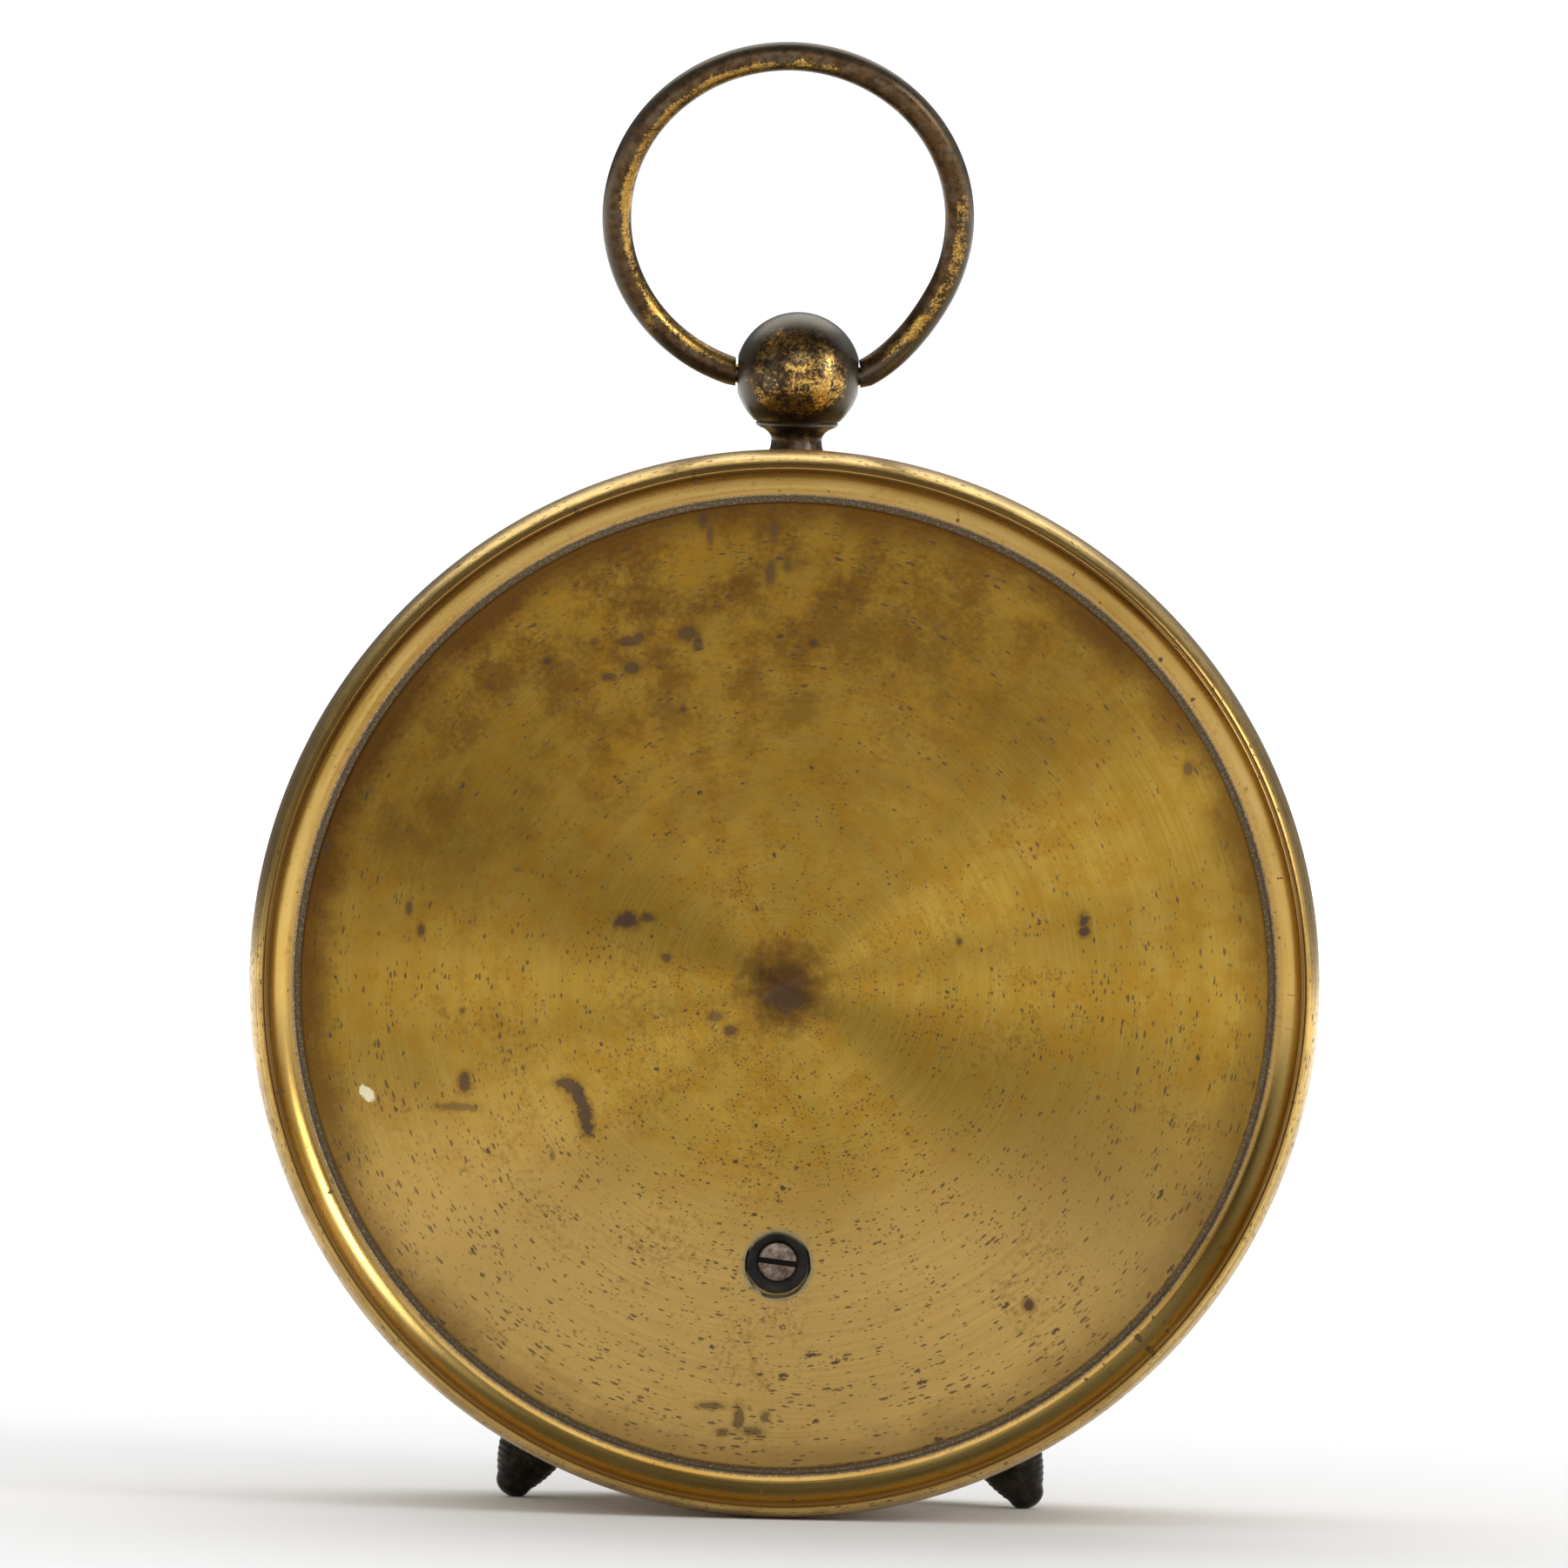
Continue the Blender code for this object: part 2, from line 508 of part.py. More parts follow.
for side, word in ((-1, "left"), (1, "right")):
    prof = [(0, 5.7), (1.2, 5.7), (1.2, 7.8), (2.1, 7.8), (2.1, 25.7), (1.0, 25.7), (1.0, 27.6),
            (0, 27.6)]
    piece("bridge_pillar_" + word, lathe(prof, 16, at_point(side * PILLAR_X, 0)), "turned_brass")
    prof = [(0, 26.2), (0.8, 26.2), (0.8, 27.5), (1.5, 27.5), (1.5, 34.7), (0.8, 34.7),
            (0.8, 36.6), (0, 36.6)]
    piece("bridge_post_" + word, lathe(prof, 14, at_point(side * 12, 0)), "turned_brass")


def hairspring():
    """Flat spiral strip round the collet."""
    bm = bmesh.new()
    rows = []
    turns, steps = 4.0, 56
    for i in range(steps + 1):
        t = 2 * math.pi * turns * i / steps
        r = 1.75 + 4.9 * i / steps
        row = []
        for dr, h in ((-0.1, 28.8), (0.1, 28.8), (0.1, 29.4), (-0.1, 29.4)):
            row.append(bm.verts.new(((r + dr) * math.cos(t), (r + dr) * math.sin(t), h)))
        rows.append(row)
    for low, high in zip(rows, rows[1:]):
        for k in range(4):
            n = (k + 1) % 4
            bm.faces.new((low[k], low[n], high[n], high[k]))
    bm.faces.new(rows[0])
    bm.faces.new(rows[-1])
    bmesh.ops.recalc_face_normals(bm, faces=bm.faces[:])
    return bm


piece("hairspring", hairspring(), "blued_steel", smooth=False)
piece("hairspring_stud", rod(0.55, 26.2, 30.0, 10, at_point(7.6, 0)), "turned_brass")

# ---------------------------------------------------------------- dial and pointer
for number, (x, v) in enumerate(spots(DIAL_POST_R, DIAL_POST_ANG)):
    prof = [(0, 5.7), (1.2, 5.7), (1.2, 7.8), (2.3, 7.8), (2.3, DIAL_A - 0.3), (1.15, DIAL_A - 0.3),
            (1.15, 32.5), (0, 32.5)]
    piece("dial_pillar_%d" % (number + 1), lathe(prof, 16, at_point(x, v)), "turned_brass")
    body, groove = screw(2.0, 39.3, 40.2, 0.8, 33.4, at=at_point(x, v))
    piece("dial_screw_%d" % (number + 1), body, "blued_steel", cut=[groove])
dial_cut = [rod(1.15, 36, 41, 12, at_point(x, v)) for x, v in spots(DIAL_POST_R, DIAL_POST_ANG)]
piece("dial", lathe([(2.0, DIAL_A), (54.6, DIAL_A), (54.6, 39.0), (2.0, 39.0)], 48), "silvered",
      cut=dial_cut)


def hand(h0, h1, reach, hub_r, bore, width, tail):
    """Long tapered hand with a round hub and a counterpoise disc on its tail."""
    add = [prism([(-width, 0), (-width * 0.45, reach * 0.86), (-0.12, reach), (0.12, reach),
                  (width * 0.45, reach * 0.86), (width, 0), (width * 0.8, -tail),
                  (-width * 0.8, -tail)], h0, h0 + 0.4),
           lathe([(0, h0 - 0.02), (2.6, h0 - 0.02), (2.6, h0 + 0.42), (0, h0 + 0.42)], 20,
                 at_point(0, -tail))]
    hub = lathe([(0, h0 - 0.2), (hub_r, h0 - 0.2), (hub_r, h1 - 0.2), (hub_r - 0.3, h1), (0, h1)], 20)
    return hub, add, [rod(bore, h0 - 2, h1 - 0.4, 14)]


hub, add, cut = hand(40.6, 41.7, 43.0, 2.2, 0.8, 1.0, 15.0)
piece("pointer", hub, "blued_steel", add=add, cut=cut, origin=(0.0, 0.0, 41.0))

# ---------------------------------------------------------------- bezel, glass and set hand
SIGHT = [(54.7, 39.3), (54.7, 42.6), (54.2, 42.6), (50.0, 39.9), (50.0, 39.3)]
piece("sight_ring", lathe(SIGHT, 44), "aged_brass")
BEZEL = [(56.8, 37.2), (57.3, 37.2), (57.6, 38.2), (57.6, 40.8), (58.2, 42.4), (58.2, 44.6),
         (57.6, 46.4), (56.4, 47.4), (54.2, 47.0), (51.6, 46.4), (51.6, 45.9), (54.4, 45.9),
         (54.4, 43.3), (56.8, 43.3)]
piece("bezel", lathe(BEZEL, SEG), "aged_brass", origin=(0.0, 0.0, 43.0))
GLASS = [(1.6, 43.9), (54.1, 43.9), (54.1, 44.9), (51.4, 45.6), (1.6, 45.6)]
piece("glass", lathe(GLASS, 44), "glass", origin=(0.0, 0.0, 43.0))
piece("glass_retainer", lathe([(52.5, 42.9), (54.1, 42.9), (54.1, 43.6), (52.5, 43.6)], 36),
      "aged_brass", origin=(0.0, 0.0, 43.0))
hub, add, cut = hand(42.4, 43.4, 40.0, 2.3, 1.1, 0.9, 11.0)
cut = [rod(1.1, 40, 46, 14)]
SET_TURN = Matrix.Rotation(math.radians(-18.0), 4, "Z")  # left beside the pointer at its last setting
for bm in [hub] + add + cut:
    bmesh.ops.transform(bm, matrix=SET_TURN, verts=bm.verts[:])
piece("set_hand", hub, "turned_brass", add=add, cut=cut, origin=(0.0, 0.0, 43.0))
SPINDLE = [(0, 42.3), (0.8, 42.3), (0.8, 43.7), (1.3, 43.7), (1.3, 46.3), (0.8, 46.3), (0.8, 48.4),
           (0, 48.4)]
piece("set_spindle", lathe(SPINDLE, 16), "turned_brass", origin=(0.0, 0.0, 43.0))


def set_knob():
    """Fluted knob with a blind bore for the spindle."""
    prof = [(1.1, 46.6), (2.4, 46.6), (4.3, 47.3), (4.3, 49.3), (3.8, 49.9), (2.4, 50.1), (0, 50.1)]
    prof = [(0, 48.7), (1.1, 48.7)] + prof
    bm = lathe(prof, 32)
    for vert in bm.verts:
        if math.hypot(vert.co.x, vert.co.y) > 4.1:
            turn = round(math.atan2(vert.co.y, vert.co.x) / (2 * math.pi / 32))
            grow = 1.02 if turn % 2 else 0.96
            vert.co.x *= grow
            vert.co.y *= grow
    return bm


piece("set_knob", set_knob(), "aged_brass", origin=(0.0, 0.0, 43.0))

# ---------------------------------------------------------------- lean back and set down
lean = Matrix.Rotation(math.pi / 2 - TILT, 4, "X")
bpy.context.view_layer.update()
corners = [lean @ obj.matrix_world @ v.co for obj in MADE for v in obj.data.vertices]
mid_y = (min(c.y for c in corners) + max(c.y for c in corners)) / 2
low_z = min(c.z for c in corners)
settle = Matrix.Translation((0.0, -mid_y, -low_z)) @ lean
for obj in MADE:
    obj.matrix_world = settle @ obj.matrix_world
bpy.context.view_layer.update()
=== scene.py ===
import json
import math

import bmesh
import bpy
from mathutils import Matrix, Vector, noise

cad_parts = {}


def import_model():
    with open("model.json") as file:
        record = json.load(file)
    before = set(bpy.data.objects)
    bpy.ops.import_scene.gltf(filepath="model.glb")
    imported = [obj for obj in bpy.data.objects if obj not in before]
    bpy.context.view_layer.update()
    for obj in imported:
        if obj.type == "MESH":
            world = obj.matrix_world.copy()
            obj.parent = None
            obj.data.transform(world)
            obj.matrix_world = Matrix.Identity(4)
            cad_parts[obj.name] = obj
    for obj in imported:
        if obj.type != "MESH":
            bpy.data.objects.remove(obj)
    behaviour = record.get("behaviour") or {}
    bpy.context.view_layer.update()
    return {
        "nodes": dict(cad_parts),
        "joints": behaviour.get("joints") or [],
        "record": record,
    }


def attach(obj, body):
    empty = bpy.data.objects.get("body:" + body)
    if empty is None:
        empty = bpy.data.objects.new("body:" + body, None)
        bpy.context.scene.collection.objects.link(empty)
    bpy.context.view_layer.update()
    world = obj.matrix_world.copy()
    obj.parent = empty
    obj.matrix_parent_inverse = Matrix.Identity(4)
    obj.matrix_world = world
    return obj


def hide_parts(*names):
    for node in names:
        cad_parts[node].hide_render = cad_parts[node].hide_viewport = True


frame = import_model()

# Geometry below is in millimetres in the movement frame: X right seen from the dial, V up across the
# drum, A along its axis from the back plane to the dial. PLACE carries it to the row frame.
MM = 0.001
JOINTS = {joint["name"]: joint for joint in frame["joints"]}
AXIS = Vector(JOINTS["bezel_pull"]["axis"]).normalized()
UP = AXIS.cross(Vector((1, 0, 0)))
HAND_A = 43.0
ORIGIN = Vector(JOINTS["set_hand_turn"]["pos_m"]) - AXIS * HAND_A * MM
PLACE = Matrix.Translation(ORIGIN) @ Matrix((Vector((1, 0, 0)), UP, AXIS)).transposed().to_4x4()

# ------------------------------------------------------------------ sizes (mm)
RIM_R = 60.0
RIM_A = 5.6
LIP_R = 58.1
BAND_IN = 55.0
PLATE_R = 54.2
PLATE_A = 2.3
PLATE_FRONT = 3.4
LEDGE_R = 50.0
LEDGE_BACK = 3.7
LEDGE_FRONT = 5.2
WALL_R = 56.5
WALL_IN = 55.3
WALL_BACK = 12.0
WALL_FRONT = 43.0
STUD_R = 1.75
STUD_END = 52.9
STUD_SEAT = 56.85
HOLE_V = -31.3
HOLE_R = 3.45
HEAD_A = 6.1
SLOT_TURN = 6.0
PEND_A = 24.0
BALL_V = 67.8
BALL_R = 7.1
BALL_FLAT = 6.8
RING_R = 19.3
RING_WIRE = 1.62
RING_SIDE = 1.6
RING_RISE = 18.7
RING_LEAN = math.radians(20.7)
TILT = math.asin(AXIS.z)
FOOT_A = 32.2
FOOT_ANG = math.radians(26.2)
FOOT_TIP = 3.3
FOOT_DOME = 0.85
DIAL_TOP = 39.0
DIAL_R = 54.6
DIAL_HOLE = 2.05
DIAL_SCREW_R = 46.0
GLASS_R = 54.1
GLASS_BACK = 43.9
GLASS_FRONT = 45.6
SCALE_TURN = 80.0
SCALE_MID = 29.5
# points round a turned piece: the rim and plate, the front pieces, small fittings
PLATE_SEG = 256
FRONT_SEG = 192
SMALL_SEG = 96

# ------------------------------------------------------------------ node helper


class Nodes:
    """Short way to write a material's node graph."""

    def __init__(self, name):
        self.mat = bpy.data.materials.new(name)
        self.mat.use_nodes = True
        self.tree = self.mat.node_tree
        self.shader = self.tree.nodes["Principled BSDF"]

    def add(self, kind, **settings):
        node = self.tree.nodes.new(kind)
        for key, value in settings.items():
            setattr(node, key, value)
        return node

    def put(self, socket, value):
        if isinstance(value, bpy.types.NodeSocket):
            self.tree.links.new(value, socket)
        else:
            socket.default_value = value

    def math(self, operation, a, b=0.0, c=0.0, clamp=False):
        node = self.add("ShaderNodeMath", operation=operation, use_clamp=clamp)
        for socket, value in zip(node.inputs, (a, b, c)):
            self.put(socket, value)
        return node.outputs[0]

    def length(self, a, b):
        square = self.math("ADD", self.math("MULTIPLY", a, a), self.math("MULTIPLY", b, b))
        return self.math("SQRT", square)

    def step(self, value, low, high, to_low=0.0, to_high=1.0):
        node = self.add("ShaderNodeMapRange", interpolation_type="SMOOTHSTEP")
        for key, item in (("Value", value), ("From Min", low), ("From Max", high),
                          ("To Min", to_low), ("To Max", to_high)):
            self.put(node.inputs[key], item)
        return node.outputs[0]

    def coords(self):
        """Object coordinates in the movement frame, in millimetres."""
        coord = self.add("ShaderNodeTexCoord")
        scale = self.add("ShaderNodeVectorMath", operation="SCALE")
        self.put(scale.inputs[0], coord.outputs["Object"])
        scale.inputs["Scale"].default_value = 1000.0
        return scale.outputs[0]

    def split(self, vector):
        node = self.add("ShaderNodeSeparateXYZ")
        self.put(node.inputs[0], vector)
        return node.outputs

    def join(self, x, y, z):
        node = self.add("ShaderNodeCombineXYZ")
        for socket, value in zip(node.inputs, (x, y, z)):
            self.put(socket, value)
        return node.outputs[0]

    def noise(self, vector, scale, detail=4.0, rough=0.55, distort=0.0):
        node = self.add("ShaderNodeTexNoise")
        self.put(node.inputs["Vector"], vector)
        for key, value in (("Scale", scale), ("Detail", detail), ("Roughness", rough),
                           ("Distortion", distort)):
            self.put(node.inputs[key], value)
        return node.outputs["Fac"]

    def mix(self, factor, a, b, blend="MIX"):
        node = self.add("ShaderNodeMix", data_type="RGBA", blend_type=blend)
        self.put(node.inputs[0], factor)
        for socket, value in ((node.inputs[6], a), (node.inputs[7], b)):
            self.put(socket, value if isinstance(value, bpy.types.NodeSocket) else (*value, 1.0))
        return node.outputs[2]

    def bump(self, height, strength, distance):
        node = self.add("ShaderNodeBump")
        self.put(node.inputs["Height"], height)
        node.inputs["Strength"].default_value = strength
        node.inputs["Distance"].default_value = distance
        self.put(self.shader.inputs["Normal"], node.outputs[0])
        return node

    def finish(self, color, rough, metallic=1.0, **fixed):
        self.put(self.shader.inputs["Base Color"], color if isinstance(color, bpy.types.NodeSocket)
                 else (*color, 1.0))
        self.put(self.shader.inputs["Roughness"], rough)
        self.put(self.shader.inputs["Metallic"], metallic)
        for key, value in fixed.items():
            self.shader.inputs[key.replace("_", " ")].default_value = value
        return self.mat


# ------------------------------------------------------------------ materials
GOLD = (0.40, 0.245, 0.036)
PALE_GOLD = (0.50, 0.335, 0.078)
OLIVE = (0.27, 0.165, 0.021)
BROWN = (0.105, 0.043, 0.011)
STAIN = (0.050, 0.026, 0.016)
SLOT_SHADE = (0.012, 0.009, 0.008)
VERDIGRIS = (0.20, 0.21, 0.15)

# marks on the turned plate: x, v, half width, half height (mm) and strength
MARKS = [
    (17.9, 7.0, 1.25, 0.9, 1.0), (15.6, 7.3, 0.9, 0.55, 0.8), (-33.3, 8.2, 0.6, 0.8, 1.0),
    (-33.4, 7.0, 0.55, 0.6, 1.0), (35.5, -11.8, 0.7, 1.1, 0.8), (36.4, -14.4, 2.2, 0.5, 0.5),
    (24.2, -11.5, 1.2, 0.7, 0.85), (22.8, -12.8, 0.75, 1.2, 0.95), (22.0, -14.6, 0.7, 1.2, 0.95),
    (21.7, -16.4, 0.7, 1.0, 0.95), (22.3, -13.7, 0.7, 1.0, 0.95), (21.8, -15.5, 0.65, 1.0, 0.95),
    (23.4, -12.0, 0.8, 0.8, 0.9), (-28.2, -35.1, 0.65, 0.65, 0.9), (18.4, 38.2, 1.2, 0.6, 0.75),
    (17.2, 38.8, 0.7, 0.6, 0.7), (11.9, 39.2, 1.1, 0.9, 0.75), (10.7, 38.2, 0.6, 0.8, 0.7),
    (18.0, 35.2, 0.9, 0.7, 0.7), (20.6, 34.2, 0.9, 0.5, 0.7), (22.3, 38.0, 0.5, 0.4, 0.5),
    (7.2, -47.3, 1.5, 0.4, 0.6), (4.0, -48.6, 0.6, 1.3, 0.65), (2.4, -50.0, 1.2, 0.5, 0.6),
    (5.8, -50.2, 0.7, 0.4, 0.6), (1.0, -48.4, 0.5, 0.6, 0.6), (10.4, 52.0, 0.45, 1.0, 0.6),
    (9.6, 50.3, 0.4, 1.1, 0.55), (2.4, 50.6, 0.45, 1.4, 0.5), (2.7, 46.2, 0.5, 1.3, 0.55),
    (0.8, 47.0, 0.45, 0.7, 0.5), (27.4, 35.8, 0.4, 0.4, 0.9), (42.2, 7.7, 0.4, 0.8, 0.7),
    (40.8, 5.4, 0.4, 0.7, 0.8), (-2.3, 38.5, 0.5, 0.4, 0.8), (-19.4, 5.5, 0.35, 0.45, 0.8),
    (12.1, 30.8, 0.4, 0.35, 0.8), (13.3, 2.9, 0.5, 0.5, 0.7), (7.7, -3.6, 0.9, 0.6, 0.6),
    (5.9, -5.0, 0.7, 0.6, 0.7), (0.0, -1.4, 2.3, 2.0, 0.55), (-44.5, 25.5, 0.5, 0.9, 0.6),
    (36.0, -3.6, 0.35, 0.35, 0.5), (30.2, 12.4, 0.4, 0.3, 0.4), (25.5, -19.6, 0.3, 0.6, 0.5),
]


def polar(n, point):
    x, y, z = n.split(point)
    return x, y, z, n.length(x, y), n.math("ARCTAN2", y, x)


def turned_lines(n, radius, angle, fine):
    """Broken concentric tool marks: quick across the radius, slow round it."""
    swing = n.math("MULTIPLY", n.math("SINE", angle), 1.7)
    swing_b = n.math("MULTIPLY", n.math("COSINE", angle), 1.7)
    return n.noise(n.join(n.math("MULTIPLY", radius, fine), swing, swing_b), 1.0, 3.0, 0.65)


def pits(n, u, v, size, keep):
    """Round marks of uneven size, one to a cell of the (u, v) grid, kept where keep is high."""
    node = n.add("ShaderNodeTexVoronoi", voronoi_dimensions="2D")
    n.put(node.inputs["Vector"], n.join(u, v, 0.0))
    node.inputs["Scale"].default_value = 1.0
    chance = n.split(node.outputs["Color"])
    limit = n.math("MULTIPLY", n.math("MULTIPLY", chance[0], chance[0]), size)
    limit = n.math("MULTIPLY", limit, n.math("GREATER_THAN", keep, chance[1]))
    return n.step(n.math("SUBTRACT", node.outputs["Distance"], limit), 0.02, -0.05)


def plate_brass():
    n = Nodes("turned_plate_brass")
    p = n.coords()
    x, y, z, radius, angle = polar(n, p)
    wide = n.noise(p, 0.045, 3.0, 0.5)
    cloud = n.noise(p, 0.16, 6.0, 0.62)
    patch = n.noise(p, 0.5, 5.0, 0.65)
    speck = n.noise(p, 1.6, 6.0, 0.75)
    lines = turned_lines(n, radius, angle, 3.4)
    broad = turned_lines(n, radius, angle, 0.5)
    # red-brown patina: a ragged border, a burnished swirl in the middle, clouds at the upper left
    ragged = n.math("MULTIPLY_ADD", cloud, 7.0, n.math("ADD", radius, -3.5))
    ragged = n.math("MULTIPLY_ADD", speck, 4.0, n.math("ADD", ragged, -2.0))
    edge = n.step(ragged, 48.5, 54.6)
    middle = n.math("MULTIPLY_ADD", patch, 7.0, n.math("ADD", radius, -3.5))
    middle = n.step(n.math("MULTIPLY_ADD", speck, 3.0, n.math("ADD", middle, -1.5)), 7.0, 3.0)
    heart = n.math("MULTIPLY_ADD", patch, 5.0, n.math("ADD", radius, -5.0))
    heart = n.math("MULTIPLY_ADD", speck, 5.0, heart)
    heart = n.step(heart, 3.6, 1.6)
    corner = n.step(n.math("ADD", n.math("MULTIPLY", x, 0.30), y), 2.0, 52.0)
    corner = n.math("MULTIPLY", corner, n.step(n.math("MULTIPLY_ADD", speck, 0.5, cloud), 0.62, 0.92))
    dusty = n.math("MULTIPLY", n.step(n.noise(p, 0.09, 4.0, 0.6), 0.50, 0.66), n.step(speck, 0.45, 0.66))
    # the ragged border is made darker towards the top and the left as seen from the back
    darker_side = n.math("ADD", n.step(y, -30.0, 45.0, 0.42, 1.0), n.step(x, 12.0, 45.0, 0.0, 0.35))
    edge = n.math("MULTIPLY", edge, darker_side)
    edge = n.math("MINIMUM", edge, 1.0)
    brown = n.math("MAXIMUM", n.math("MULTIPLY", edge, 0.95), n.math("MULTIPLY", middle, 0.75))
    brown = n.math("MAXIMUM", brown, n.math("MULTIPLY", corner, 0.8))
    brown = n.math("MAXIMUM", brown, n.math("MULTIPLY", dusty, 0.45))
    base = n.mix(n.step(wide, 0.35, 0.65), OLIVE, GOLD)
    base = n.mix(n.step(lines, 0.36, 0.66, 0.0, 0.45), base, PALE_GOLD)
    base = n.mix(n.step(broad, 0.38, 0.62, 0.0, 0.25), base, OLIVE)
    warm = n.math("MULTIPLY", n.step(n.noise(p, 0.28, 5.0, 0.65), 0.44, 0.62), 0.5)
    base = n.mix(warm, base, (0.34, 0.165, 0.014))
    # painted shade: the plate is darker towards the top
    painted_top_shade = n.step(n.math("MULTIPLY_ADD", x, 0.35, y), -8.0, 36.0, 0.0, 0.42)
    base = n.mix(painted_top_shade, base, (0.17, 0.085, 0.010))
    # painted light: the lower part of the plate is paler gold
    painted_low_light = n.math("MULTIPLY", n.step(y, -4.0, -34.0), n.step(radius, 14.0, 34.0))
    base = n.mix(n.math("MULTIPLY", painted_low_light, 0.72), base, (0.53, 0.35, 0.12))
    color = n.mix(n.math("MULTIPLY", brown, 0.88), base, BROWN)
    color = n.mix(n.math("MULTIPLY", heart, 0.6), color, (0.060, 0.028, 0.016))
    # corrosion pits drawn out along the turning, in drifts, thicker low on the plate and round its middle
    thick = n.math("ADD", n.noise(p, 0.30, 5.0, 0.7), n.step(y, 20.0, -30.0, -0.05, 0.05))
    thick = n.math("ADD", thick, n.step(radius, 26.0, 8.0, 0.0, 0.06))
    wobble = n.math("MULTIPLY_ADD", speck, 0.9, n.math("MULTIPLY", radius, 2.3))
    fine = pits(n, wobble, n.math("MULTIPLY", angle, 30.0), 0.38, n.step(thick, 0.44, 0.64, 0.06, 0.75))
    wobble = n.math("MULTIPLY_ADD", speck, 1.2, n.math("MULTIPLY", radius, 0.9))
    large = pits(n, wobble, n.math("MULTIPLY", angle, 15.0), 0.26, n.step(thick, 0.46, 0.68, 0.02, 0.22))
    wobble = n.math("MULTIPLY_ADD", speck, 1.2, n.math("MULTIPLY", radius, 3.9))
    dust = pits(n, wobble, n.math("MULTIPLY", angle, 58.0), 0.44, n.step(thick, 0.40, 0.66, 0.08, 0.45))
    pit = n.math("MAXIMUM", n.math("MULTIPLY", fine, 0.8), large)
    pit = n.math("MAXIMUM", pit, n.math("MULTIPLY", dust, 0.6))
    # the larger stains, each with a noisy outline and a faint halo
    wob = n.math("MULTIPLY_ADD", speck, 1.9, -0.95)
    wob_b = n.math("MULTIPLY_ADD", patch, 1.3, -0.65)
    stain = 0.0
    halo = 0.0
    for mx, mv, half_x, half_v, power in MARKS:
        dx = n.math("DIVIDE", n.math("SUBTRACT", x, mx), half_x)
        dv = n.math("DIVIDE", n.math("SUBTRACT", y, mv), half_v)
        dist = n.math("ADD", n.length(dx, dv), n.math("ADD", wob, wob_b))
        stain = n.math("MAXIMUM", stain, n.step(dist, 1.1, 0.7, 0.0, power))
        halo = n.math("MAXIMUM", halo, n.step(dist, 2.0, 0.9, 0.0, 0.45 * power))
    color = n.mix(halo, color, BROWN)
    color = n.mix(n.math("MULTIPLY", stain, 0.88), color, STAIN)
    color = n.mix(n.math("MULTIPLY", pit, 0.85), color, STAIN)
    # one chip down to pale metal, and pale rubbed metal round the adjusting hole
    chip_x = n.math("MULTIPLY_ADD", n.math("SUBTRACT", y, -13.1), -0.5, n.math("SUBTRACT", x, 46.5))
    chip_v = n.math("MULTIPLY", n.math("SUBTRACT", y, -13.1), 0.75)
    chip = n.math("ADD", n.length(chip_x, chip_v), n.math("MULTIPLY", wob, 0.5))
    chip = n.step(chip, 0.85, 0.6)
    color = n.mix(chip, color, (0.80, 0.72, 0.47))
    hole = n.length(x, n.math("SUBTRACT", y, HOLE_V))
    hole = n.math("ADD", hole, n.math("MULTIPLY", wob, 0.35))
    color = n.mix(n.step(hole, 4.35, 3.7, 0.0, 0.65), color, VERDIGRIS)
    dirt = n.math("MAXIMUM", n.math("MAXIMUM", stain, pit), n.math("MULTIPLY", brown, 0.6))
    rough = n.math("ADD", n.step(lines, 0.3, 0.7, 0.34, 0.42), n.math("MULTIPLY", dirt, 0.12))
    height = n.math("MULTIPLY_ADD", lines, 0.6, n.math("MULTIPLY", broad, 0.6))
    height = n.math("SUBTRACT", height, n.math("MULTIPLY", pit, 0.9))
    n.bump(height, 0.16, 0.00012)
    tangent = n.add("ShaderNodeTangent", direction_type="RADIAL", axis="Z")
    n.put(n.shader.inputs["Tangent"], tangent.outputs[0])
    metal = n.math("SUBTRACT", 1.0, n.math("MULTIPLY", n.math("MAXIMUM", pit, stain), 0.5))
    return n.finish(color, rough, metal, Anisotropic=1.0, Anisotropic_Rotation=0.25)


